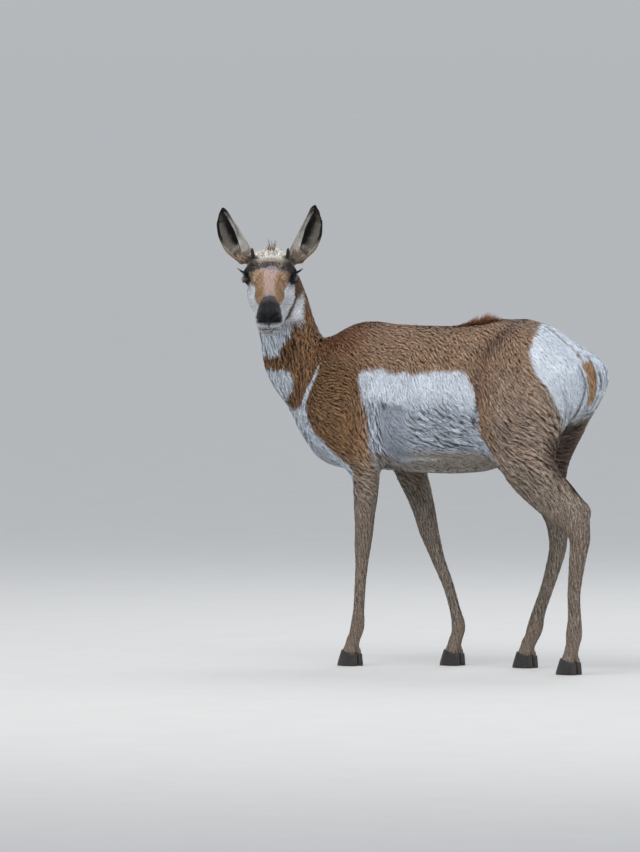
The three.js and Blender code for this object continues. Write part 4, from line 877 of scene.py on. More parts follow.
def neck_marks(P, N):
    y, z = P[:, 1], P[:, 2]
    al, av, be = neck_angles(P)
    rg = noise(P, 16, 3) * 7 + noise(P, 7, 4) * 5
    tip = np.repeat(BROWN["neck"][0][None], len(P), 0)
    root = np.repeat(BROWN["neck"][1][None], len(P), 0)
    mane = smooth(125, 165, np.abs(be))
    tip, root = mix(tip, BROWN["mane"][0], mane), mix(root, BROWN["mane"][1], mane)
    nb = np.interp(y, [-500, -495, -453, -415, -403, -377, -362], [676, 673, 654, 655, 678, 729, 760])
    chest = smooth(-5, 5, nb - z + rg * 0.6)
    hw = np.interp(z, [668, 680, 704, 727, 752], [0, 14, 34, 45, 50])
    tri = smooth(-5, 5, hw - np.abs(be) + rg * 0.8) * smooth(755, 749, z + rg * 0.4)
    hw2 = np.interp(z, [780, 800, 840, 885, 930], [42, 44, 50, 48, 40])
    throat = smooth(-6, 6, hw2 - np.abs(be) + rg * 2.2 + noise(P, 4, 48) * 8) * smooth(783, 791, z + rg * 0.5)
    w = np.maximum.reduce([chest, tri, throat])
    tip, root = mix(tip, BROWN["white"][0] * 0.97, w), mix(root, BROWN["white"][1], w)
    return tip, root, w, be


FACE = {k: lin(v) for k, v in dict(
    tan=[172, 146, 120], white=[236, 239, 244], orange=[160, 122, 84], pink=[196, 168, 156], band=[66, 62, 68], lilac=[158, 150, 162], crown=[246, 238, 226], black=[9, 9, 13],
    dark=[44, 38, 36], neck=[96, 68, 46], grey=[150, 144, 136], brown=[128, 92, 60], chin=[214, 212, 210]).items()}


def face_marks(P, N):
    h = to_head(P)
    f, l, u = h.T
    q = np.abs(l)
    rg = noise(P, 9, 5) * 3 + noise(P, 4, 6) * 1.6
    uc = -12 - 0.10 * (f - 60)
    ph = np.degrees(np.arctan2(q, u - uc))
    c = np.repeat(FACE["tan"][None], len(P), 0)

    def put(name, w):
        nonlocal c
        c = mix(c, FACE[name], np.clip(w, 0, 1))

    put("orange", smooth(54, 66, f + rg) * (0.35 + 0.65 * smooth(156, 136, f + rg * 1.5)) * smooth(176, 160, f + rg))
    fleck = noise(P, 3.2, 31)
    put("dark", 0.30 * smooth(0.15, 0.8, fleck) * smooth(54, 66, f) * smooth(176, 160, f))
    put("tan", 0.75 * smooth(-0.15, 0.5, noise(P, 10, 49)) * smooth(54, 66, f) * smooth(176, 160, f))
    put("tan", 0.6 * smooth(84, 66, f) * smooth(54, 62, f))
    put("white", 0.35 * smooth(-0.2, -0.8, fleck) * smooth(30, 60, f) * smooth(120, 80, f))
    bridge = np.interp(f, [60, 90, 120, 165], [18, 14, 12, 15])
    put("pink", smooth(bridge + 4, bridge - 4, q + rg * 0.8) * smooth(52, 74, f + rg) * 0.92)
    side = smooth(60, 72, ph + rg * 1.6)
    jaw = np.interp(u, [-110, -94, -67, -42, -25, -8, 6], [108, 98, 82, 61, 52, 40, 10]) - 13 * smooth(0, -20, l)
    fore = smooth(-3, 3, f - jaw + rg * 0.5)
    put("white", side * smooth(44, 62, f + rg) * fore)
    put("white", smooth(-12, -22, u + rg - 0.1 * (f - 40)) * fore)
    behind = (1 - fore) * smooth(4, -14, u) * smooth(24, 34, q)
    put("neck", behind * smooth(-62, -40, u + rg))
    put("grey", 0.6 * behind * smooth(-40, -58, u + rg))
    put("white", 0.85 * behind * smooth(-44, -60, u + rg))
    put("grey", smooth(8, -8, f) * smooth(-30, -10, u) * 0.6)
    put("brown", smooth(-8, -30, f + rg) * smooth(-90, -55, u))
    # throat under the jaw stays white
    put("white", smooth(-70, -82, u) * smooth(-60, -40, f))
    # grizzled brow between the eyes, white crown, brown hairs of the poll
    brow = smooth(32, 42, f + rg * 1.8) * smooth(72, 60, f + rg * 1.8) * smooth(12, 22, u)
    put("band", brow * (0.98 - 0.55 * smooth(0.0, 0.6, fleck)))
    put("dark", brow * 0.5 * smooth(0.0, -0.5, fleck))
    put("lilac", smooth(60, 64, f + rg) * smooth(78, 68, f + rg) * smooth(26, 14, q) * smooth(12, 22, u) * 0.8)
    crown = smooth(34, 26, f + rg) * smooth(-48, -34, f + rg) * smooth(46, 36, q) * smooth(22, 32, u)
    put("crown", crown)
    put("grey", crown * 0.6 * smooth(0.25, 0.7, fleck) * smooth(-30, 20, f + 14))
    put("dark", crown * 0.4 * smooth(0.3, 0.8, noise(P, 5, 50)))
    put("brown", smooth(-38, -50, f + rg))
    put("grey", 0.7 * np.exp(-((f - 30) / 8.0) ** 2) * (u > 20) * smooth(52, 44, q))
    put("brown", np.exp(-(((l + 1) / 9) ** 2 + ((f + 18) / 14) ** 2)) * 0.65 * (u > 30))
    # round the horns and the eyes
    for s in (1, -1):
        d = np.hypot(f - HORN_AT[0], l - s * HORN_AT[1])
        put("dark", smooth(17, 10, d + rg) * (u > 18) * 0.85)
        put("black", np.exp(-(((f - 42) / 18) ** 2 + ((l - s * 48) / 13) ** 2) ** 1.5) * (u > 6) * 0.85)
    for side_ in ("left", "right"):
        qv = (P - EYES[side_]) @ EYEF[side_].T
        ring = eye_shape(qv[:, 0], qv[:, 1])
        near = (qv[:, 2] > -6) & (np.linalg.norm(qv, axis=1) < 46)
        put("dark", smooth(1.95, 1.45, ring + rg * 0.05) * near * 0.9)
        put("black", smooth(1.55, 1.25, ring + rg * 0.03) * near)
        put("dark", np.exp(-(((qv[:, 0] - 20) / 9) ** 2 + ((qv[:, 1] + 9) / 10) ** 2)) * near * 0.45)
    # nose, lips, chin
    hw = np.interp(f, [152, 158, 163, 167, 171, 176, 200, 212], [-8, 6, 17, 24, 28, 30, 31, 31])
    hw = hw + 12 * np.exp(-((q - 13) / 4.5) ** 2) * smooth(143, 150, f) * smooth(170, 160, f)
    put("lilac", smooth(146, 156, f) * smooth(176, 162, f) * smooth(16, 8, q) * 0.8)
    nose = smooth(-3.5, 3.5, hw - q + rg * 1.2) * smooth(-36, -31, u + 0.10 * q) * (f > 146)
    put("dark", smooth(-12, 3, hw - q + rg) * smooth(-34, -26, u) * (f > 146) * 0.75)
    put("black", nose * (0.4 + 0.6 * smooth(157, 174, f + rg)))
    mo = mouth(np.stack([f, q, u], 1))
    lips = smooth(150, 165, f) * smooth(5.6, 3.2, np.abs(mo + 0.4)) * (0.7 + 0.3 * smooth(22, 15, q))
    put("black", lips * 0.95)
    slit = smooth(4.2, 2.2, np.abs(u + 55.5 - 5 * (q / 28) ** 2)) * smooth(31, 26, q) * (f > 160)
    put("black", slit * 0.95)
    put("black", smooth(3.4, 2.0, q) * smooth(-30, -34, u) * smooth(-46, -42, u) * (f > 185) * 0.85)
    put("chin", smooth(-56, -64, u) * smooth(150, 165, f) * smooth(16, 8, q) * 0.3)
    # jaw line: a thin brown line along the jaw's back edge, partly brown hair and partly painted shade under its edge
    line = np.exp(-((f - jaw + 1) / 3.6) ** 2) * smooth(-22, -36, u) * smooth(-104, -94, u) * smooth(24, 34, q)
    put("neck", line)
    put("dark", line * 0.45)
    bare = np.clip(nose + lips + slit, 0, 1)
    return c, bare, h, ph


def ear_marks(P, N, ear):
    q, a, h, ph, R, u, v = ear.where(P)
    th = np.arctan2(np.abs(v), -u)
    inner = ((N @ ear.M[1]) * (-u) < 0) | (np.hypot(u, v) < R)
    inner = np.hypot(u, v) < R
    e = th / ph                                                   # 0 at the back of the cup, 1 at the rim
    medial = v * 1.0 < 0                                          # toward the other ear
    rg = noise(P, 7, 8) * 0.10
    s = np.where(medial, -e, e) + rg
    back = np.repeat(lin([152, 130, 106])[None], len(P), 0)
    back = mix(back, lin([190, 184, 176]), smooth(-0.42, -0.62, s) * smooth(0.86, 0.66, h + rg) * 0.9)
    back = mix(back, lin([92, 76, 62]), smooth(0.55, 0.85, h + rg) * smooth(-0.5, -0.2, s) * 0.8)
    back = mix(back, lin([34, 30, 29]), smooth(0.86, 0.97, e + rg * 0.3) * smooth(0.3, 0.55, h) * np.where(medial, 0.5, 0.9))
    back = mix(back, lin([28, 25, 24]), smooth(0.84, 0.93, h + rg * 0.5))
    c = np.repeat(lin([112, 104, 96])[None], len(P), 0)
    c = mix(c, lin([150, 142, 132]), smooth(0.40, 0.7, s) * 0.85)
    c = mix(c, lin([26, 24, 24]), smooth(0.46, 0.18, s) * smooth(-0.64, -0.52, s))
    c = mix(c, lin([216, 214, 210]), smooth(-0.46, -0.60, s) * smooth(0.92, 0.76, h + rg))
    c = mix(c, lin([190, 182, 172]), smooth(0.24, 0.10, h + rg) * 0.95)
    c = mix(c, lin([58, 52, 48]), smooth(0.62, 0.86, h + rg) * smooth(-0.5, -0.3, s) * 0.85)
    c = mix(c, lin([26, 23, 22]), smooth(0.93, 0.99, e + rg * 0.3) * smooth(0.25, 0.45, h) * np.where(medial, 0.4, 1.0))
    c = mix(c, lin([24, 21, 20]), smooth(0.86, 0.95, h + rg * 0.5))
    return mix(back, c, inner.astype(float)), inner, e, h, medial


def zones(P):
    """how much of each point belongs to the neck, the head and each ear"""
    h = to_head(P)
    sh = 0.836 * (h[:, 0] + 62) + 0.549 * (h[:, 2] - 40)
    near = smooth(280, 250, np.linalg.norm(P - hp([60, 0, 0]), axis=1))
    head = smooth(-9, 9, sh) * near * smooth(-104, -90, h[:, 2]) * smooth(86, 74, np.abs(h[:, 1]))
    neck = smooth(-378, -402, P[:, 1]) * smooth(-14, 14, -0.72 * (P[:, 1] + 395) + 0.69 * (P[:, 2] - 700)) * (1 - head)
    ears = {}
    for k, e in EARS.items():
        q = (P - e.o) @ e.M.T
        ears[k] = smooth(10, 24, q[:, 0]) * (np.hypot(q[:, 1], q[:, 2]) < 62) * (q[:, 0] < 170)
    return neck, head, ears


# lie of the coat on the sides: y, z, degrees below straight back
LIE = np.array([
    [-350, 800, 50], [-290, 825, 40], [-300, 745, 10], [-300, 690, 6], [-335, 625, 25], [-290, 570, 45], [-250, 520, 42], [-230, 490, 22],
    [-215, 440, 40], [-200, 820, 28], [-100, 825, 30], [0, 832, 33], [100, 835, 38], [180, 842, 45], [-150, 775, 25], [0, 775, 38], [110, 775, 45],
    [-190, 720, 72], [-100, 712, 68], [0, 710, 62], [90, 705, 56], [-180, 640, 72], [-165, 580, 72], [-60, 640, 40], [40, 640, 34], [120, 640, 34],
    [-60, 580, 18], [40, 570, 14], [120, 570, 20], [0, 520, 5], [200, 800, 50], [230, 760, 45], [300, 770, 40], [190, 690, 62], [240, 680, 35],
    [300, 690, 28], [330, 640, 32], [195, 600, 60], [250, 600, 15], [320, 600, 28], [350, 560, 42], [220, 540, 42], [280, 540, 22], [330, 510, 32],
    [380, 450, 55], [330, 440, 50], [330, 820, 42], [380, 760, 60], [400, 700, 72], [390, 640, 66], [390, 600, 60], [-400, 640, 72], [-380, 560, 60], [-330, 500, 30]], float)


def lie(P, N, Z):
    """unit direction of the hair, along the skin"""
    neck, head, ears = Z
    x, y, z = P.T
    w = np.exp(-((y[:, None] - LIE[:, 0]) ** 2 + (z[:, None] - LIE[:, 1]) ** 2) / (2 * 34.0 ** 2)) + 1e-9
    t = np.radians((w @ LIE[:, 2]) / w.sum(1))
    t = t + noise(P, 46, 11) * 0.22 + noise(P, 19, 12) * 0.16
    D = np.stack([np.zeros(len(P)), np.cos(t), -np.sin(t)], 1)
    legs = smooth(455, 370, z)
    D = D + (np.array([0, 0.12, -1.0]) - D) * legs[:, None]
    # chest and brisket run down and back
    ch = smooth(-385, -430, y) * smooth(700, 640, z)
    D = D + (np.array([0, 0.25, -0.97]) - D) * ch[:, None]
    al, av, be = neck_angles(P)
    va = np.radians(av)
    vent = np.stack([np.sin(va), -np.cos(va), np.zeros(len(P))], 1)
    tail = smooth(378, 392, y) * smooth(632, 652, z) * smooth(32, 24, np.abs(x))
    D = D + (np.array([0, 0.1, -1.0]) - D) * tail[:, None]
    dn = np.array([-0.06, 0.42, -0.86]) + vent * (0.34 * smooth(740, 860, z))[:, None]
    dn = dn + np.stack([noise(P, 24, 13), noise(P, 24, 14), 0 * z], 1) * 0.28
    D = D + (unit(dn) - D) * neck[:, None]
    dh = -HF[0] - 0.32 * HF[2]
    h = to_head(P)
    crown = smooth(30, 10, h[:, 0]) * (h[:, 2] > 28)
    dh = dh[None] + np.outer(np.sign(h[:, 1]) * np.clip(np.abs(h[:, 1]) / 30, 0, 1) * crown * 0.5, HF[1])
    dh = dh + (noise(P, 14, 15) * 0.25 * (1 + 1.6 * crown))[:, None] * HF[1] + (noise(P, 14, 16) * 0.2)[:, None] * HF[2]
    D = D + (dh - D) * head[:, None]
    for k, m in ears.items():
        e = EARS[k]
        q = (P - e.o) @ e.M.T
        de = e.M[0][None] + np.outer(noise(P, 12, 17) * 0.25, e.M[2])
        D = D + (de - D) * m[:, None]
    D = D - N * dots(D, N)[:, None]
    bad = np.linalg.norm(D, axis=1) < 0.05
    D[bad] = np.cross(N[bad], [0.3, 0.9, 0.2])
    return unit(D)


def colours(P, N, Z):
    neck, head, ears = Z
    tip, root, white, bm = body_marks(P, N)
    t2, r2, w2, be = neck_marks(P, N)
    tip, root = mix(tip, t2, neck), mix(root, r2, neck)
    fc, bare, h, ph = face_marks(P, N)
    tip, root = mix(tip, fc, head), mix(root, fc * 0.55, head)
    for k, m in ears.items():
        ec = ear_marks(P, N, EARS[k])[0]
        tip, root = mix(tip, ec, m), mix(root, ec * 0.6, m)
    return tip, root, white * (1 - neck) * (1 - head) + w2 * neck, bare * head, bm, be, h, ph


# ---------------------------------------------------------------- the tufts
RIPPLE = 0.15


def ripples(P, D, B, size, reach, taps, seed):
    """locks side by side: noise drawn out along the hair and sharpened across it, at both edges of a tuft"""
    gap = size * 1.12
    out = []
    for e in (-1.5, -0.5, 0.5, 1.5):
        v = np.zeros(len(P), np.float32)
        tot = 0.0
        for i in range(taps):
            t = (i - (taps - 1) / 2) / ((taps - 1) / 2)
            w = math.exp(-2.2 * t * t)
            v += w * noise(P + D * (t * reach) + B * (e * gap), size, seed)
            tot += w
        out.append(v / tot)
    a = out[1] - 0.5 * (out[0] + out[2])
    b = out[2] - 0.5 * (out[1] + out[3])
    return a, b


def streaks(P, D, size, seed):
    """noise drawn out along the hair"""
    out = np.zeros(len(P), np.float32)
    for k, w in zip((-2, -1, 0, 1, 2), (0.5, 0.9, 1.0, 0.9, 0.5)):
        out += w * noise(P + D * (k * size * 1.2), size, seed)
    return out / 1.7


def habits(P, N, Z, h, be):
    """length, width, how far it stands out, wetness of the locks, size of the locks and tufts per square millimetre"""
    neck, head, ears = Z
    x, y, z = np.abs(P[:, 0]), P[:, 1], P[:, 2]
    out = N[:, 0] * np.sign(P[:, 0])
    length = 15.0 + 4 * smooth(720, 600, z) + 2 * smooth(250, 330, y)
    width = 2.1 + 0.5 * smooth(700, 600, z)
    stand = np.full(len(P), 0.0)
    wet = 1.0 + 0.55 * smooth(700, 600, z)
    lock = 2.6 + 1.5 * smooth(700, 600, z) + 0.8 * smooth(200, 320, y)
    sh = smooth(-175, -240, y) * smooth(600, 680, z)
    length -= 3 * sh
    lock -= 0.4 * sh
    pk, st, es, bl = flank_zones(P, out)
    wet = wet * (1 - 0.8 * pk - 0.8 * bl * (1 - pk)) + 0.35 * st + 0.5 * es
    lock += (6.0 - lock) * st + (4.6 - lock) * es
    length += 4 * st
    legs = smooth(500, 380, z)
    length += (9.5 - length) * legs
    width += (2.0 - width) * legs
    wet += (0.75 - wet) * legs
    lock += (3.0 - lock) * legs
    feet = smooth(150, 60, z)
    length += (6.0 - length) * feet
    width += (1.7 - width) * feet
    wet += (0.4 - wet) * feet
    tail = smooth(378, 392, y) * smooth(632, 652, z) * smooth(32, 24, np.abs(x))
    length += 4 * tail
    stand += 1.5 * tail
    rust = np.exp(-(((y - 70) / 48) ** 2)) * smooth(22, 6, x) * smooth(842, 850, z)
    length += 17 * rust
    stand += (13.0 + 9.0 * smooth(-20, 50, y)) * rust * (1 + 0.5 * noise(P, 7, 51))
    wet = wet * (1 - 0.5 * rust)
    top = smooth(0.8, 0.97, N[:, 2]) * smooth(840, 850, z)
    stand += 1.0 * top
    # neck
    nape = smooth(100, 150, np.abs(be))
    length += (21 + 5 * nape - length) * neck
    width += (2.9 - width) * neck
    stand += (1.2 + 3.2 * nape * smooth(720, 800, z) - stand) * neck
    wet += (1.5 - wet) * neck
    lock += (4.2 - lock) * neck
    # head
    f, l, u = h.T
    q = np.abs(l)
    lh = 8.5 - 4.8 * smooth(20, 150, f)
    lh = lh + 4.5 * smooth(-40, -70, u) * smooth(60, 10, f)
    crown = smooth(24, 10, f) * smooth(24, 34, u)
    lh = lh + 6.5 * crown
    ring = np.full(len(P), 9.0)
    for s in ("left", "right"):
        qv = (P - EYES[s]) @ EYEF[s].T
        ring = np.where((qv[:, 2] > 0) & (np.linalg.norm(qv, axis=1) < 50), np.minimum(ring, eye_shape(qv[:, 0], qv[:, 1])), ring)
    lh = lh * (1 - 0.45 * smooth(1.8, 1.2, ring))
    length += (lh - length) * head
    width += (1.55 + 0.5 * crown - 0.25 * smooth(120, 170, f) - width) * head
    stand += (0.1 + 2.2 * crown - stand) * head
    wet += (0.35 + 0.6 * crown - wet) * head
    lock += (2.6 - lock) * head
    cover = 4.6 - 0.8 * legs
    cover = cover + (3.9 - cover) * head
    for k, m in ears.items():
        _, inner, e, hh, medial = ear_marks(P, N, EARS[k])
        le = np.where(inner, 6.0 + 7.5 * smooth(0.35, 0.65, e) * medial * smooth(0.85, 0.5, hh), 5.5)
        length += (le - length) * m
        width += (1.6 - width) * m
        stand += (np.where(inner, 0.9, 0.0) - stand) * m
        wet += (0.3 - wet) * m
        lock += (2.6 - lock) * m
        cover = cover + (np.where(inner, 4.0, 3.8) - cover) * m
    return length, width, stand, wet, lock, cover / (length * width * 0.62), ring


def unwrap(P, N, name, Z):
    """a place on an unwrap of the skin's own shape, 0..1 in both directions"""
    x, y, z = P.T
    if name.startswith("coat_head"):
        h = to_head(P)
        a = np.arctan2(h[:, 1], h[:, 2] + 16 + 0.12 * h[:, 0])
        r = np.hypot(h[:, 1], h[:, 2] + 20)
        s = h[:, 0] + (60 - r) * 0.5 * np.sign(h[:, 0] - 60)
        return a / (2 * math.pi) + 0.5, (s + 110) / 350
    if name.startswith("coat_ear"):
        uu, vv = np.zeros(len(P)), np.zeros(len(P))
        for i, k in enumerate(("left", "right")):
            e = EARS[k]
            q, a, h, ph, R, u, v = e.where(P)
            m = Z[2][k] > 0.3
            th = np.arctan2(v, -u) / np.maximum(ph, 1)
            inner = np.hypot(u, v) < R
            s = np.clip(th, -1.15, 1.15) / 2.5 + 0.5
            uu[m] = ((s + np.where(inner, 1, 0)) / 4 + i * 0.5)[m]
            vv[m] = (a / 170 + 0.08)[m]
        return uu, vv
    if name.startswith("coat_legs"):
        uu, vv = np.zeros(len(P)), (z - 20) / 560
        for i, tab in enumerate((FORE_LEFT, FORE_RIGHT) if "front" in name else (HIND_LEFT, HIND_RIGHT)):
            zz = [t[2] for t in tab][::-1]
            cx, cy = np.interp(z, zz, [t[0] for t in tab][::-1]), np.interp(z, zz, [t[1] for t in tab][::-1])
            m = (x > 0) if i == 0 else (x <= 0)
            uu[m] = ((np.arctan2((x - cx), (y - cy)) / (2 * math.pi) + 0.5) * 0.48 + i * 0.5 + 0.01)[m]
        return uu, vv
    if name.startswith("coat_neck"):
        al = neck_angles(P)[0]
        return (al % 360) / 360, (z - 560) / 480
    # the trunk's sides, the rump
    a = np.arctan2(z - 680, np.abs(x) * 1.25)
    if name.startswith("coat_rump"):
        b = np.arctan2(x, y - 190)
        return b / math.pi + 0.5, (z - 430) / 470
    return a / math.pi + 0.5, (y + 450) / 720


def make_mesh(name, verts, faces_flat, sizes, smooth_faces=True):
    me = bpy.data.meshes.new(name)
    nv, nl, nf = len(verts), len(faces_flat), len(sizes)
    me.vertices.add(nv)
    me.vertices.foreach_set("co", np.ascontiguousarray(verts, np.float32).ravel())
    me.loops.add(nl)
    me.loops.foreach_set("vertex_index", np.ascontiguousarray(faces_flat, np.int32))
    me.polygons.add(nf)
    starts = np.concatenate([[0], np.cumsum(sizes)[:-1]]).astype(np.int32)
    me.polygons.foreach_set("loop_start", starts)
    me.update(calc_edges=True)
    me.polygons.foreach_set("use_smooth", np.full(nf, smooth_faces))
    return me


def add_colour(me, name, rgb):
    at = me.color_attributes.new(name=name, type="FLOAT_COLOR", domain="POINT")
    c = np.ones((len(rgb), 4), np.float32)
    c[:, :3] = rgb
    at.data.foreach_set("color", c.ravel())


def add_value(me, name, v):
    at = me.attributes.new(name=name, type="FLOAT", domain="POINT")
    at.data.foreach_set("value", np.ascontiguousarray(v, np.float32))


def new_object(name, me):
    ob = bpy.data.objects.new(name, me)
    bpy.context.scene.collection.objects.link(ob)
    return ob


def tufts(name, R, N, D, length, width, depth, stand, wet, lock, tip, root, deep, spread, uv, rng, skip_normals=False):
    """ribbons with a rounded look: two corners at the root, at a third and at two thirds, and a point"""
    n = len(R)
    B = np.cross(N, D)
    big = rng.random(n) < smooth(2.7, 4.6, lock)
    broad = rng.random(n) < smooth(4.8, 5.6, lock)

    def locks(t):
        """pattern of the locks at a place along the tuft, for its left and right edge, -1 in the gaps, 1 on the crests"""
        Q = R + D * (length * t)[:, None]
        a, b = np.zeros(n, np.float32), np.zeros(n, np.float32)
        for m, size, reach, taps in ((~big & ~broad, 2.15, 9.0, 7), (big & ~broad, 3.0, 16.0, 9), (broad, 4.3, 20.0, 9)):
            if m.any():
                a[m], b[m] = ripples(Q[m], D[m], B[m], size, reach, taps, 21)
        a, b = a / RIPPLE, b / RIPPLE
        return np.clip(a, -1, 1), np.clip(b, -1, 1)

    (a2, b2), (a3, b3) = locks(0.62), locks(0.96)
    k2, k3 = (a2 + b2) / 2, (a3 + b3) / 2
    k1 = k2
    lean = np.clip((b2 - a2) * 0.9, -1, 1) * np.clip(wet, 0, 1.3)
    relief = wet * 1.5
    jit = rng.random((n, 6)).astype(np.float32)
    length = length * (0.78 + 0.44 * jit[:, 0])
    width = width * (0.8 + 0.4 * jit[:, 1])
    turn = (jit[:, 2] - 0.5) * 0.34
    D = unit(D * np.cos(turn)[:, None] + B * np.sin(turn)[:, None])
    t0 = -depth
    t1 = -depth * 0.40 + (k1 - 0.9) * relief * 0.5
    t2 = -0.5 + (k2 - 1.0) * relief * 0.85 - 0.9 * jit[:, 3] + stand * 0.55
    t3 = -0.4 + (k3 - 1.0) * relief * 0.8 - 0.5 * jit[:, 4] + stand * (0.6 + 0.8 * jit[:, 5])
    t3 = t3 - 0.25 * np.minimum(depth, 3)
    pts, nor = [R], [N]
    P0, D0 = R, D
    for s, target, shift in ((0.34, t1, 0.25), (0.36, t2, 0.5), (0.32, t3, 0.5)):
        P1 = P0 + D0 * (s * length)[:, None] + B * (lean * shift)[:, None]
        for _ in range(2):
            val, g = grid.at(P1)
            gg = np.maximum((g * g).sum(1), 0.25)
            move = np.clip((target - val) / gg, -7, 7)
            P1 = P1 + g * move[:, None]
        g = unit(g)
        D0 = unit(P1 - P0)
        flat = unit(D0 - g * dots(D0, g)[:, None])
        D0 = np.where((np.linalg.norm(D0 - g * dots(D0, g)[:, None], axis=1) > 0.2)[:, None], flat, D0)
        B = unit(np.cross(g, D0))
        pts.append(P1)
        nor.append(g)
        P0 = P1
    roll = (jit[:, 4] - 0.5) * 0.9
    rows = []
    nrm = []
    for k, wk in ((0, 0.75), (1, 1.0), (2, 0.72)):
        d = unit(pts[k + 1] - pts[k])
        b = unit(np.cross(nor[k], d))
        b = b * np.cos(roll)[:, None] + nor[k] * np.sin(roll)[:, None]
        nn = unit(np.cross(d, b))
        half = (width * wk / 2)[:, None]
        rows += [pts[k] - b * half, pts[k] + b * half]
        nrm += [unit(nn - b * 0.55), unit(nn + b * 0.55)]
    rows.append(pts[3])
    nrm.append(unit(np.cross(unit(pts[3] - pts[2]), unit(np.cross(nor[3], pts[3] - pts[2])))))
    verts = np.stack(rows, 1).reshape(-1, 3)
    vnorm = np.stack(nrm, 1).reshape(-1, 3)
    base = (np.arange(n) * 7)[:, None]
    f = np.concatenate([base + np.array([0, 2, 3, 1]), base + np.array([2, 4, 5, 3]), base + np.array([4, 6, 5])], 1).ravel()
    sizes = np.tile([4, 4, 3], n)
    me = make_mesh(name, world(verts), f, sizes)
    # colour: painted highlight on the crests of the locks, painted shade in the gaps over the darker underfur, roots
    # dark, each tuft a little its own
    own = (1 + (jit[:, 0] - 0.5) * spread + noise(R, 13, 23) * 0.08 + noise(R, 37, 24) * 0.07)[:, None]

    def shade(k, bright):
        gap = np.clip(smooth(0.42, -0.26, k) * np.clip(wet, 0.2, 1.3) * deep, 0, 1)
        c = mix(tip, root * 0.6, gap) * own * bright
        # painted highlight: crests of the locks greyed toward a pale sheen
        painted_sheen = (smooth(0.25, 0.9, k) * 0.30 * np.clip(wet, 0, 1))[:, None]
        high = np.array([0.21, 0.22, 0.23]) + 0.5 * np.clip(tip * 2.2, 0, 0.7)
        return c + (high - c) * painted_sheen * (c.mean(1, keepdims=True) < 0.42)

    c0 = root * 0.75
    c1a, c1b = shade(a2, 1.0) * 0.6 + root * 0.3, shade(b2, 1.0) * 0.6 + root * 0.3
    col = np.stack([c0, c0, c1a, c1b, shade(a2, 1.0), shade(b2, 1.0), shade(k3, 1.05)], 1).reshape(-1, 3)
    add_colour(me, "tint", np.clip(col, 0, 1))
    # a patch 0.003 across at the root's place
    u0, v0 = np.clip(uv[0], 0.004, 0.996), np.clip(uv[1], 0.004, 0.996)
    e = 0.0015
    pu = np.array([-e, e, -e, e, -e, e, 0])
    pv = np.array([-e, -e, -e / 3, -e / 3, e / 3, e / 3, e])
    U = (u0[:, None] + pu).ravel()
    W = (v0[:, None] + pv).ravel()
    lay = me.uv_layers.new(name="OFBake")
    lay.data.foreach_set("uv", np.stack([U[f], W[f]], 1).astype(np.float32).ravel())
    if not skip_normals:
        me.normals_split_custom_set_from_vertices(vnorm.astype(np.float32))
    return new_object(name, me)


# ---------------------------------------------------------------- where the tufts stand
rng = np.random.default_rng(11)
C3 = (V[TR[:, 0]] + V[TR[:, 1]] + V[TR[:, 2]]) / 3
CN = unit(VN[TR[:, 0]] + VN[TR[:, 1]] + VN[TR[:, 2]])
CZ = zones(C3)
_, _, _, bare, bm, be, hh, ph = colours(C3, CN, CZ)
habit = habits(C3, CN, CZ, hh, be)
dens = habit[5] * area
dens *= 1 - np.clip(bare, 0, 1)
dens[habit[6] < 1.12] = 0                                         # none inside the eyelids
for k, e in EARS.items():                                         # this loop does nothing
    pass
low = C3[:, 2] < 34
dens[low] = 0
want = float(dens.sum())
LIMIT = 285000
scale = min(1.0, LIMIT / want)
say("tufts wanted", int(want), "scale %.2f" % scale)
cum = np.cumsum(dens * scale)
count = int(cum[-1])
pick = np.searchsorted(cum, (np.arange(count) + rng.random(count)) * (cum[-1] / count))
pick = np.clip(pick, 0, len(TR) - 1)
r1, r2 = np.sqrt(rng.random(count)), rng.random(count)
wa, wb, wc = (1 - r1)[:, None], (r1 * (1 - r2))[:, None], (r1 * r2)[:, None]
R = V[TR[pick, 0]] * wa + V[TR[pick, 1]] * wb + V[TR[pick, 2]] * wc
_, RNg = grid.at(R)
RN = unit(VN[TR[pick, 0]] * wa + VN[TR[pick, 1]] * wb + VN[TR[pick, 2]] * wc)
RZ = zones(R)
RT, RR, white, bare, bm, be, hh, ph = colours(R, RN, RZ)
length, width, stand, wet, lock, _, ring = habits(R, RN, RZ, hh, be)
RD = lie(R, RN, RZ)
depth = coat_depth(R)
# how dark the painted shade in the gaps is, and how much one tuft differs from the next
calm = white * smooth(640, 700, R[:, 2]) * smooth(-195, -150, R[:, 1])
fz = flank_zones(R, RN[:, 0] * np.sign(R[:, 0]))
deep = 1.0 - 0.5 * white - 0.3 * calm
deep = deep + (0.74 - deep) * np.maximum(fz[1], fz[2])
deep = deep + (0.25 - deep) * np.maximum(fz[0], fz[3])
spread = 0.30 + 0.22 * RZ[1] * (1 - white)
say("roots", count)

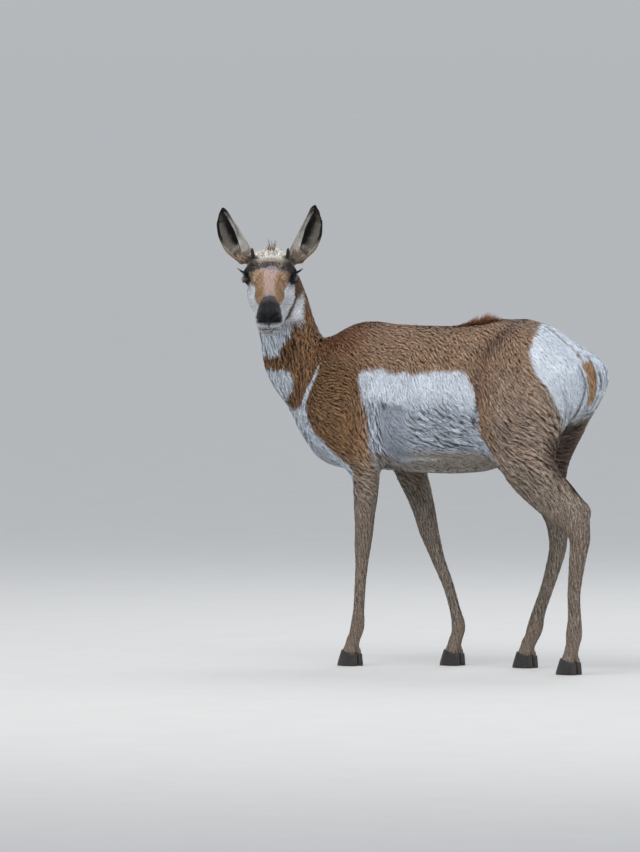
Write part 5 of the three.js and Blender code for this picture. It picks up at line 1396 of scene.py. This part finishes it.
head_w, neck_w = RZ[1] > 0.5, RZ[0] > 0.5
ear_w = (RZ[2]["left"] > 0.5) | (RZ[2]["right"] > 0.5)
y_, z_, x_ = R[:, 1], R[:, 2], R[:, 0]
limb = (z_ < 505) & (np.abs(x_) > 36 + (z_ - 460) * 0.5) | (z_ < 452)
name_of = np.full(count, "coat_trunk_left ", dtype="U20")
name_of[x_ < 0] = "coat_trunk_right"
name_of[(y_ > 190)] = "coat_rump_left"
name_of[(y_ > 190) & (x_ < 0)] = "coat_rump_right"
name_of[limb & (y_ < 50)] = "coat_legs_front"
name_of[limb & (y_ >= 50)] = "coat_legs_hind"
name_of[neck_w] = "coat_neck"
name_of[head_w] = "coat_head"
name_of[ear_w] = "coat_ears"
pieces = {}
for nm in sorted(set(name_of)):
    m = np.nonzero(name_of == nm)[0]
    nm = nm.strip()
    parts = max(1, math.ceil(len(m) * 5 / 190000))
    for i, idx in enumerate(np.array_split(m, parts)):
        label = nm if parts == 1 else "%s_%d" % (nm, i + 1)
        sub = ([z[idx] for z in RZ[:2]] + [{k: v[idx] for k, v in RZ[2].items()}])
        uv = unwrap(R[idx], RN[idx], nm, sub)
        pieces[label] = tufts(label, R[idx], RN[idx], RD[idx], length[idx], width[idx], depth[idx], stand[idx], wet[idx], lock[idx], RT[idx], RR[idx], deep[idx], spread[idx], uv, rng)
        say(label, len(idx), "tufts", len(idx) * 5, "triangles")


# ---------------------------------------------------------------- the skin itself
VZ = zones(V)
vt, vr, vwhite, vbare, _, vbe, vh, vph = colours(V, VN, VZ)
me = make_mesh("skin", world(V), Q.ravel(), np.full(len(Q), 4))
under = vt * 0.42 + vr * 0.50
under = mix(under, vt, np.clip(vbare, 0, 1))
# painted shade: inside the nostrils, the mouth's line and the lids, where the skin lies deeper, it is painted near
# black
dip = grid.at(V)[0] + coat_depth(V)
near_eye = np.minimum(np.linalg.norm(V - EYES["left"], axis=1), np.linalg.norm(V - EYES["right"], axis=1))
hollow = smooth(0.7, 2.6, -dip) * (VZ[1] > 0.5)
under = mix(under, lin([14, 12, 12]), hollow)
add_colour(me, "tint", np.clip(under, 0, 1))
add_value(me, "bare", np.clip(vbare + hollow, 0, 1))
skin = new_object("skin", me)
say("skin mesh")


# ---------------------------------------------------------------- small solids
def tube_mesh(name, path, radii, seg=8, closed=False, up=None, flat=1.0):
    path = np.asarray(path, float)
    n = len(path)
    if closed:
        T = np.roll(path, -1, 0) - np.roll(path, 1, 0)
    else:
        T = np.gradient(path, axis=0)
    T = unit(T)
    up = np.array([0, 0, 1.0]) if up is None else np.asarray(up, float)
    A = unit(np.cross(T, np.broadcast_to(up, T.shape)))
    B = np.cross(A, T)
    ang = np.linspace(0, 2 * math.pi, seg, endpoint=False)
    r = np.broadcast_to(np.asarray(radii, float), (n,))
    rings = path[:, None] + r[:, None, None] * (np.cos(ang)[None, :, None] * A[:, None] + flat * np.sin(ang)[None, :, None] * B[:, None])
    verts = rings.reshape(-1, 3)
    faces, sizes = [], []
    for i in range(n if closed else n - 1):
        j = (i + 1) % n
        for k in range(seg):
            m = (k + 1) % seg
            faces += [i * seg + k, i * seg + m, j * seg + m, j * seg + k]
            sizes.append(4)
    if not closed:
        faces += list(range(seg))[::-1] + list(range((n - 1) * seg, n * seg))
        sizes += [seg, seg]
    return verts, faces, sizes


extra = {}
for side in ("left", "right"):
    s = 1 if side == "left" else -1
    c, M = EYES[side], EYEF[side]
    # eyeball with a cornea
    nu, nv_ = 64, 40
    vv, cols = [], []
    for i in range(nv_ + 1):
        th = math.pi * i / nv_
        for j in range(nu):
            a = 2 * math.pi * j / nu
            bulge = 1.1 * max(0.0, math.cos(min(th / 0.72, math.pi / 2))) ** 1.0
            r = EYE_R - 0.15 + bulge * (1 if th < 1.13 else 0)
            X, Y, Z_ = math.sin(th) * math.cos(a), math.sin(th) * math.sin(a), math.cos(th)
            vv.append(c + r * (X * M[0] + Y * M[1] + Z_ * M[2]))
            px_, py_ = X * EYE_R, Y * EYE_R
            rr = math.hypot(px_, py_)
            pupil = (abs(px_) / 8.2) ** 2.4 + (abs(py_) / 4.6) ** 2.4
            iris = np.array(lin([34, 20, 13])) * (0.65 + 0.5 * (rr / 14) ** 2)
            col = iris
            if Z_ > 0:
                w = float(smooth(1.35, 0.8, np.array(pupil)))
                col = iris * (1 - w) + np.array(lin([4, 4, 6])) * w
                w = float(smooth(13.2, 14.6, np.array(rr)))
                col = col * (1 - w) + np.array(lin([15, 11, 10])) * w
            else:
                col = np.array(lin([22, 17, 15]))
            cols.append(col)
    ff, sz = [], []
    for i in range(nv_):
        for j in range(nu):
            k = (j + 1) % nu
            ff += [i * nu + j, (i + 1) * nu + j, (i + 1) * nu + k, i * nu + k]
            sz.append(4)
    me = make_mesh("eyeball_" + side, world(np.array(vv)), ff, sz)
    add_colour(me, "tint", np.array(cols))
    extra["eyeball_" + side] = new_object("eyeball_" + side, me)
    # rims of the lids
    t = np.linspace(0, 2 * math.pi, 96, endpoint=False)
    A_, B_ = EYE_OPEN
    ca, sa = np.cos(t), np.sin(t)
    p = 2 / 1.72
    a = np.sign(ca) * np.abs(ca) ** p * np.where(ca > 0, A_ * 1.04, A_ * 0.97)
    b = np.sign(sa) * np.abs(sa) ** p * np.where(sa > 0, B_ * 0.98, B_ * 0.86)
    rr = EYE_R + 0.7
    path = c + a[:, None] * M[0] + b[:, None] * M[1] + np.sqrt(rr * rr - a * a - b * b)[:, None] * M[2]
    verts, ff, sz = tube_mesh("", path, 1.25 + 0.35 * (sa > 0) * np.abs(sa), 8, True, M[2])
    me = make_mesh("lid_" + side, world(verts), ff, sz)
    extra["lid_" + side] = new_object("lid_" + side, me)
    # lashes
    lr = np.random.default_rng(31 + s)
    vv, ff, sz = [], [], []
    for upper, number, size in ((True, 76, 19.0), (False, 34, 7.0)):
        for i in range(number):
            q = (i + 0.5) / number
            tt = math.pi * (0.04 + 0.90 * q) if upper else -math.pi * (0.12 + 0.76 * q)
            ca_, sa_ = math.cos(tt), math.sin(tt)
            aa = math.copysign(abs(ca_) ** p, ca_) * A_ * 1.0
            bb = math.copysign(abs(sa_) ** p, sa_) * B_ * (0.98 if upper else 0.86)
            r0 = EYE_R + 1.4
            root_ = c + aa * M[0] + bb * M[1] + math.sqrt(max(r0 * r0 - aa * aa - bb * bb, 1)) * M[2]
            ln_ = size * (0.7 + 0.5 * lr.random()) * (0.65 + 0.5 * (1 - q) ** 0.5 if upper else 1)
            outw = unit(M[2] * 1.0 + M[0] * (aa / A_ * 0.35 + 0.12 * (lr.random() - 0.5)) + M[1] * (0.25 if upper else -0.35))
            bend = M[1] * (0.55 if upper else -0.4)
            pts = [root_ + outw * ln_ * k + bend * ln_ * k * k * 0.5 for k in (0, 0.35, 0.7, 1.0)]
            vs, fs, ss = tube_mesh("", pts, [0.36, 0.32, 0.2, 0.05], 4, False, M[0])
            o = len(vv)
            vv += list(vs)
            ff += [o + f for f in fs]
            sz += ss
    me = make_mesh("lashes_" + side, world(np.array(vv)), ff, sz)
    extra["lashes_" + side] = new_object("lashes_" + side, me)
    # horn: a short rough spike
    a0, b0 = hp([HORN_AT[0], s * HORN_AT[1], HORN_AT[2]]), hp([HORN_TO[0], s * HORN_TO[1], HORN_TO[2]])
    ax = unit(b0 - a0)
    L = np.linalg.norm(b0 - a0)
    x0 = unit(np.cross([0, 0, 1.0], ax))
    y0 = np.cross(ax, x0)
    nr, ns = 26, 28
    vv = []
    for i in range(nr + 1):
        q = i / nr
        rad_ = float(np.interp(q, [0, 0.3, 0.55, 0.8, 0.93, 1], [5.8, 5.3, 4.9, 4.0, 2.8, 1.2]))
        for j in range(ns):
            g = 2 * math.pi * j / ns
            ridge = 1 + 0.035 * math.sin(q * 46 + 1.5 * math.sin(g)) * (1 - q) + 0.03 * math.sin(3 * g + 5 * q)
            lean_ = 0.6 * math.sin(q * 2.2)
            vv.append(a0 + ax * (q * L - (4 if i == 0 else 0)) + (x0 * math.cos(g) + y0 * math.sin(g)) * rad_ * ridge + HF[0] * lean_)
    ff, sz = [], []
    for i in range(nr):
        for j in range(ns):
            k = (j + 1) % ns
            ff += [i * ns + j, i * ns + k, (i + 1) * ns + k, (i + 1) * ns + j]
            sz.append(4)
    ff += list(range(ns))[::-1] + list(range(nr * ns, (nr + 1) * ns))
    sz += [ns, ns]
    me = make_mesh("horn_sheath_" + side, world(np.array(vv)), ff, sz)
    extra["horn_sheath_" + side] = new_object("horn_sheath_" + side, me)
# long thin hairs that stand up from the poll
pr = np.random.default_rng(41)
vv, ff, sz = [], [], []
for i in range(22):
    f0, l0 = -20 + 9 * pr.standard_normal(), 3 + 7 * pr.standard_normal()
    foot = np.array([f0, l0, 60.0])
    p3 = hp(foot)[None]
    for _ in range(6):
        val, g = grid.at(p3)
        p3 = p3 - g * (val + 2.0)[:, None] / np.maximum((g * g).sum(1), 0.3)[:, None]
    tall = 12 + 20 * pr.random() ** 1.5
    way = unit(HF[2] * 1.0 + HF[0] * (-0.35 + 0.35 * pr.standard_normal()) + HF[1] * (0.36 * pr.standard_normal()) + np.array([0, 0, 0.5]))
    sag = HF[1] * (pr.random() - 0.5) * 0.5 - HF[0] * 0.25
    pts = [p3[0] + way * tall * k + sag * tall * k * k * 0.5 for k in (0, 0.3, 0.6, 0.85, 1.0)]
    vs, fs, ss = tube_mesh("", pts, [0.45, 0.42, 0.32, 0.2, 0.05], 4, False, HF[0])
    o = len(vv)
    vv += list(vs)
    ff += [o + k for k in fs]
    sz += ss
me = make_mesh("poll_hairs", world(np.array(vv)), ff, sz)
add_colour(me, "tint", np.tile(lin([104, 66, 40]), (len(vv), 1)))
extra["poll_hairs"] = new_object("poll_hairs", me)
say("head pieces")


def claw(x, y, outer):
    """rings from the flat sole to the sloping coronet, pointed at the toe"""
    n = 40
    H = 0.2
    levels = [(0.0, 36.2, 21.8, 1.0, 0.0), (0.0, 37.0, 22.4, 1.04, 1.1), (0.14, 36, 22.8, 1.05, 0), (0.30, 33.3, 22.4, 1.045, 0), (0.5, 29.8, 21.8, 1.03, 0), (0.7, 26.4, 21.1, 1.01, 0), (0.86, 23.6, 20.6, 1.0, 0), (0.97, 21.8, 20.1, 0.985, 0), (1.0, 20.6, 19.2, 0.93, 0)]
    rings = []
    for t, toe, heel, wide, lift in levels:
        ring = []
        for i in range(n):
            a = 2 * math.pi * i / n
            ca, sa = math.cos(a), math.sin(a)
            py = -toe * ca if ca > 0 else -heel * ca
            p = 0.85 + 0.25 * (1 - t) if ca > 0 else 0.7
            inner = outer * sa < 0
            half = CLAW_HALF * (min(wide, 1.0) if inner else wide)
            lean_ = 0 if inner else outer * 0.8 * (1 - t) * abs(sa)
            zz = t * (CORONET[0] - H - py * CORONET[1]) + lift
            # faint growth rings on the wall
            grow = 0.12 * math.sin(zz * 1.15 + 0.6 * math.sin(a)) if 3 < zz < 30 else 0
            ring.append([x + (half - 0.25 + grow) * math.copysign(abs(sa) ** p, sa) + lean_ - outer * 3.5 * max(ca, 0) ** 2 * (1 - t) * 0.6, y + py, zz])
        rings.append(ring)
    v = [p for r in rings for p in r]
    ff, sz = [], []
    for r in range(len(rings) - 1):
        for i in range(n):
            k = (i + 1) % n
            ff += [r * n + i, r * n + k, (r + 1) * n + k, (r + 1) * n + i]
            sz.append(4)
    ff += list(range(n))[::-1] + list(range((len(rings) - 1) * n, len(rings) * n))
    sz += [n, n]
    return v, ff, sz


for foot, (fx, fy) in FEET.items():
    for w, s in (("inner", -1 if fx > 0 else 1), ("outer", 1 if fx > 0 else -1)):
        v, ff, sz = claw(fx + s * CLAW_X, fy, s)
        me = make_mesh("claw_%s_%s" % (foot, w), world(np.array(v)), ff, sz)
        me.polygons.foreach_set("use_smooth", np.array([True] * (len(sz) - 2) + [False, False]))
        me.validate()
        extra["claw_%s_%s" % (foot, w)] = new_object("claw_%s_%s" % (foot, w), me)
say("hooves")


# ---------------------------------------------------------------- materials
def material(name):
    m = bpy.data.materials.new(name)
    m.use_nodes = True
    nt = m.node_tree
    b = nt.nodes["Principled BSDF"]
    return m, nt, b


def node(nt, kind, **inputs):
    n = nt.nodes.new(kind)
    for k, v in inputs.items():
        if k.startswith("_"):
            setattr(n, k[1:], v)
        else:
            n.inputs[k.replace("_", " ")].default_value = v
    return n


def coat_material(name, rough, spec, fine):
    m, nt, b = material(name)
    L = nt.links.new
    at = node(nt, "ShaderNodeAttribute", _attribute_name="tint")
    tc = nt.nodes.new("ShaderNodeTexCoord")
    n1 = node(nt, "ShaderNodeTexNoise", Scale=fine, Detail=3.0, Roughness=0.6)
    n2 = node(nt, "ShaderNodeTexNoise", Scale=38.0, Detail=2.0, Roughness=0.5)
    L(tc.outputs["Object"], n1.inputs["Vector"])
    L(tc.outputs["Object"], n2.inputs["Vector"])
    r1 = node(nt, "ShaderNodeMapRange", From_Min=0.3, From_Max=0.7, To_Min=0.80, To_Max=1.16)
    r2 = node(nt, "ShaderNodeMapRange", From_Min=0.3, From_Max=0.7, To_Min=0.93, To_Max=1.07)
    L(n1.outputs["Fac"], r1.inputs["Value"])
    L(n2.outputs["Fac"], r2.inputs["Value"])
    mul = node(nt, "ShaderNodeMath", _operation="MULTIPLY")
    L(r1.outputs["Result"], mul.inputs[0])
    L(r2.outputs["Result"], mul.inputs[1])
    mx = node(nt, "ShaderNodeVectorMath", _operation="SCALE")
    L(at.outputs["Color"], mx.inputs[0])
    L(mul.outputs[0], mx.inputs["Scale"])
    L(mx.outputs[0], b.inputs["Base Color"])
    rr = node(nt, "ShaderNodeMapRange", From_Min=0.3, From_Max=0.7, To_Min=rough - 0.08, To_Max=rough + 0.08)
    L(n1.outputs["Fac"], rr.inputs["Value"])
    L(rr.outputs["Result"], b.inputs["Roughness"])
    b.inputs["Specular IOR Level"].default_value = spec
    bp = node(nt, "ShaderNodeBump", Strength=0.35, Distance=0.0004)
    L(n1.outputs["Fac"], bp.inputs["Height"])
    L(bp.outputs["Normal"], b.inputs["Normal"])
    return m


MAT = {
    "coat": coat_material("coat_hair", 0.52, 0.26, 900.0),
    "face_coat": coat_material("face_hair", 0.62, 0.18, 1500.0),
    "leg_coat": coat_material("leg_hair", 0.62, 0.18, 1300.0),
    "ear_coat": coat_material("ear_hair", 0.64, 0.18, 1500.0),
}

# skin: dull under the hair, moist leather where it is bare
m, nt, b = material("skin_surface")
L = nt.links.new
at = node(nt, "ShaderNodeAttribute", _attribute_name="tint")
br = node(nt, "ShaderNodeAttribute", _attribute_name="bare")
tc = nt.nodes.new("ShaderNodeTexCoord")
n1 = node(nt, "ShaderNodeTexNoise", Scale=420.0, Detail=4.0, Roughness=0.6)
vo = node(nt, "ShaderNodeTexVoronoi", Scale=620.0, _feature="DISTANCE_TO_EDGE")
L(tc.outputs["Object"], n1.inputs["Vector"])
L(tc.outputs["Object"], vo.inputs["Vector"])
r1 = node(nt, "ShaderNodeMapRange", From_Min=0.3, From_Max=0.7, To_Min=0.82, To_Max=1.15)
L(n1.outputs["Fac"], r1.inputs["Value"])
mx = node(nt, "ShaderNodeVectorMath", _operation="SCALE")
L(at.outputs["Color"], mx.inputs[0])
L(r1.outputs["Result"], mx.inputs["Scale"])
L(mx.outputs[0], b.inputs["Base Color"])
rr = node(nt, "ShaderNodeMapRange", From_Min=0.0, From_Max=1.0, To_Min=0.8, To_Max=0.3)
L(br.outputs["Fac"], rr.inputs["Value"])
L(rr.outputs["Result"], b.inputs["Roughness"])
ve = node(nt, "ShaderNodeMapRange", From_Min=0.0, From_Max=0.12, To_Min=0.0, To_Max=1.0)
L(vo.outputs["Distance"], ve.inputs["Value"])
mh = node(nt, "ShaderNodeMix", _data_type="FLOAT")
L(br.outputs["Fac"], mh.inputs[0])
L(n1.outputs["Fac"], mh.inputs[2])
L(ve.outputs["Result"], mh.inputs[3])
bp = node(nt, "ShaderNodeBump", Strength=0.6, Distance=0.0006)
L(mh.outputs[0], bp.inputs["Height"])
L(bp.outputs["Normal"], b.inputs["Normal"])
b.inputs["Specular IOR Level"].default_value = 0.2
MAT["skin"] = m

m, nt, b = material("eye_surface")
at = node(nt, "ShaderNodeAttribute", _attribute_name="tint")
tc = nt.nodes.new("ShaderNodeTexCoord")
n1 = node(nt, "ShaderNodeTexNoise", Scale=700.0, Detail=3.0, Roughness=0.7)
nt.links.new(tc.outputs["Object"], n1.inputs["Vector"])
r1 = node(nt, "ShaderNodeMapRange", From_Min=0.3, From_Max=0.7, To_Min=0.75, To_Max=1.2)
nt.links.new(n1.outputs["Fac"], r1.inputs["Value"])
mx = node(nt, "ShaderNodeVectorMath", _operation="SCALE")
nt.links.new(at.outputs["Color"], mx.inputs[0])
nt.links.new(r1.outputs["Result"], mx.inputs["Scale"])
nt.links.new(mx.outputs[0], b.inputs["Base Color"])
b.inputs["Roughness"].default_value = 0.3
b.inputs["Specular IOR Level"].default_value = 0.25
b.inputs["Coat Weight"].default_value = 1.0
b.inputs["Coat IOR"].default_value = 1.34
b.inputs["Coat Roughness"].default_value = 0.02
MAT["eye"] = m


def horny(name, dark, light, rough, scale, bump, stretch):
    m, nt, b = material(name)
    L = nt.links.new
    tc = nt.nodes.new("ShaderNodeTexCoord")
    mp = node(nt, "ShaderNodeMapping", Scale=stretch)
    n1 = node(nt, "ShaderNodeTexNoise", Scale=scale, Detail=5.0, Roughness=0.62)
    L(tc.outputs["Object"], mp.inputs["Vector"])
    L(mp.outputs["Vector"], n1.inputs["Vector"])
    cr = nt.nodes.new("ShaderNodeValToRGB")
    cr.color_ramp.elements[0].position, cr.color_ramp.elements[1].position = 0.35, 0.7
    cr.color_ramp.elements[0].color = (*lin(dark), 1)
    cr.color_ramp.elements[1].color = (*lin(light), 1)
    L(n1.outputs["Fac"], cr.inputs["Fac"])
    L(cr.outputs["Color"], b.inputs["Base Color"])
    rr = node(nt, "ShaderNodeMapRange", From_Min=0.3, From_Max=0.7, To_Min=rough - 0.1, To_Max=rough + 0.12)
    L(n1.outputs["Fac"], rr.inputs["Value"])
    L(rr.outputs["Result"], b.inputs["Roughness"])
    bp = node(nt, "ShaderNodeBump", Strength=0.5, Distance=bump)
    L(n1.outputs["Fac"], bp.inputs["Height"])
    L(bp.outputs["Normal"], b.inputs["Normal"])
    return m


MAT["horn"] = horny("horn_surface", [20, 18, 17], [58, 50, 44], 0.5, 260.0, 0.0006, (1, 1, 0.25))
MAT["hoof"] = horny("hoof_surface", [22, 21, 21], [66, 60, 54], 0.42, 220.0, 0.0004, (0.5, 0.5, 2.2))
MAT["lid"] = horny("lid_surface", [12, 10, 10], [34, 28, 26], 0.34, 500.0, 0.0003, (1, 1, 1))
MAT["lash"] = horny("lash_surface", [10, 9, 9], [26, 22, 20], 0.5, 500.0, 0.0001, (1, 1, 1))


def dress(ob, mat):
    ob.data.materials.clear()
    ob.data.materials.append(mat)
    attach(ob, "root")


dress(skin, MAT["skin"])
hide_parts("head", "neck", "trunk", "tail", "leg_front_left", "leg_front_right", "leg_hind_left", "leg_hind_right", "ear_left", "ear_right")
for name, ob in pieces.items():
    kind = "face_coat" if "head" in name else "ear_coat" if "ears" in name else "leg_coat" if "legs" in name else "coat"
    dress(ob, MAT[kind])
for name, ob in extra.items():
    if name.startswith("eyeball"):
        dress(ob, MAT["eye"])
        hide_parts("eye_" + name.split("_")[1])
    elif name.startswith("lid"):
        dress(ob, MAT["lid"])
    elif name.startswith("poll"):
        dress(ob, MAT["face_coat"])
    elif name.startswith("lashes"):
        dress(ob, MAT["lash"])
    elif name.startswith("horn"):
        dress(ob, MAT["horn"])
        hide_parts("horn_" + name.split("_")[-1])
    else:
        dress(ob, MAT["hoof"])
        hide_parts("hoof_" + name[5:])

# ---------------------------------------------------------------- floor, light, camera
me = make_mesh("floor", np.array([[-900, -900, 0], [900, -900, 0], [900, 900, 0], [-900, 900, 0.0]]), [0, 1, 2, 3], [4], False)
floor = new_object("floor", me)
m, nt, b = material("floor_surface")
tc = nt.nodes.new("ShaderNodeTexCoord")
n1 = node(nt, "ShaderNodeTexNoise", Scale=6.0, Detail=3.0)
nt.links.new(tc.outputs["Object"], n1.inputs["Vector"])
cr = nt.nodes.new("ShaderNodeValToRGB")
cr.color_ramp.elements[0].color = (0.56, 0.55, 0.53, 1)
cr.color_ramp.elements[1].color = (0.60, 0.59, 0.57, 1)
nt.links.new(n1.outputs["Fac"], cr.inputs["Fac"])
nt.links.new(cr.outputs["Color"], b.inputs["Base Color"])
b.inputs["Roughness"].default_value = 0.9
b.inputs["Specular IOR Level"].default_value = 0.1
floor.data.materials.append(m)
floor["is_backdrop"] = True

scene = bpy.context.scene
world_ = bpy.data.worlds.new("studio")
world_.use_nodes = True
scene.world = world_
nt = world_.node_tree
bg = nt.nodes["Background"]
tc = nt.nodes.new("ShaderNodeTexCoord")
sp = nt.nodes.new("ShaderNodeSeparateXYZ")
nt.links.new(tc.outputs["Generated"], sp.inputs["Vector"])
mr = node(nt, "ShaderNodeMapRange", From_Min=0.0, From_Max=0.45, To_Min=0.0, To_Max=1.0)
nt.links.new(sp.outputs["Z"], mr.inputs["Value"])
cr = nt.nodes.new("ShaderNodeValToRGB")
cr.color_ramp.elements[0].color = (0.536, 0.557, 0.578, 1)
cr.color_ramp.elements[1].color = (0.93, 0.98, 1.06, 1)
nt.links.new(mr.outputs["Result"], cr.inputs["Fac"])
nt.links.new(cr.outputs["Color"], bg.inputs["Color"])
bg.inputs["Strength"].default_value = 0.85


def area(name, at, to, size, power, colour):
    d = bpy.data.lights.new(name, "AREA")
    d.shape = "SQUARE"
    d.size = size
    d.energy = power
    d.color = colour
    o = bpy.data.objects.new(name, d)
    scene.collection.objects.link(o)
    o.location = Vector(at)
    o.rotation_mode = "QUATERNION"
    o.rotation_quaternion = (Vector(at) - Vector(to)).to_track_quat("Z", "Y")
    return o


psi = math.radians(TURN)
cdir = np.array([math.cos(psi), math.sin(psi), 0])
rdir = np.array([-math.sin(psi), math.cos(psi), 0])
mid = np.array([0, 0, 0.6])
area("key", mid + cdir * 2.2 - rdir * 1.6 + [0, 0, 4.2], mid, 3.2, 120, (1.0, 0.985, 0.96))
area("fill", mid + cdir * 3.5 + rdir * 3.0 + [0, 0, 1.6], mid, 3.0, 40, (0.96, 0.98, 1.0))
area("back", mid - cdir * 3.0 + rdir * 1.0 + [0, 0, 3.4], mid, 2.6, 60, (0.95, 0.98, 1.0))

cam = bpy.data.cameras.new("camera")
cam.lens, cam.sensor_width = 422.5, 36.0
cam.clip_start, cam.clip_end = 1.0, 3000.0
co = bpy.data.objects.new("camera", cam)
scene.collection.objects.link(co)
at_ = 25 * cdir - 0.335 * rdir + np.array([0, 0, 1.42]) + SHIFT / 1000
down = math.atan(326 / 10000)
look = -cdir * math.cos(down) - np.array([0, 0, 1]) * math.sin(down)
co.location = Vector(at_)
co.rotation_mode = "QUATERNION"
co.rotation_quaternion = Vector(-look).to_track_quat("Z", "Y")
scene.camera = co
scene.view_settings.view_transform = "Standard"
scene.view_settings.look = "None"

visual_box = [list(c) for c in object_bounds()]
say("size", cad_box, visual_box)
say("done")
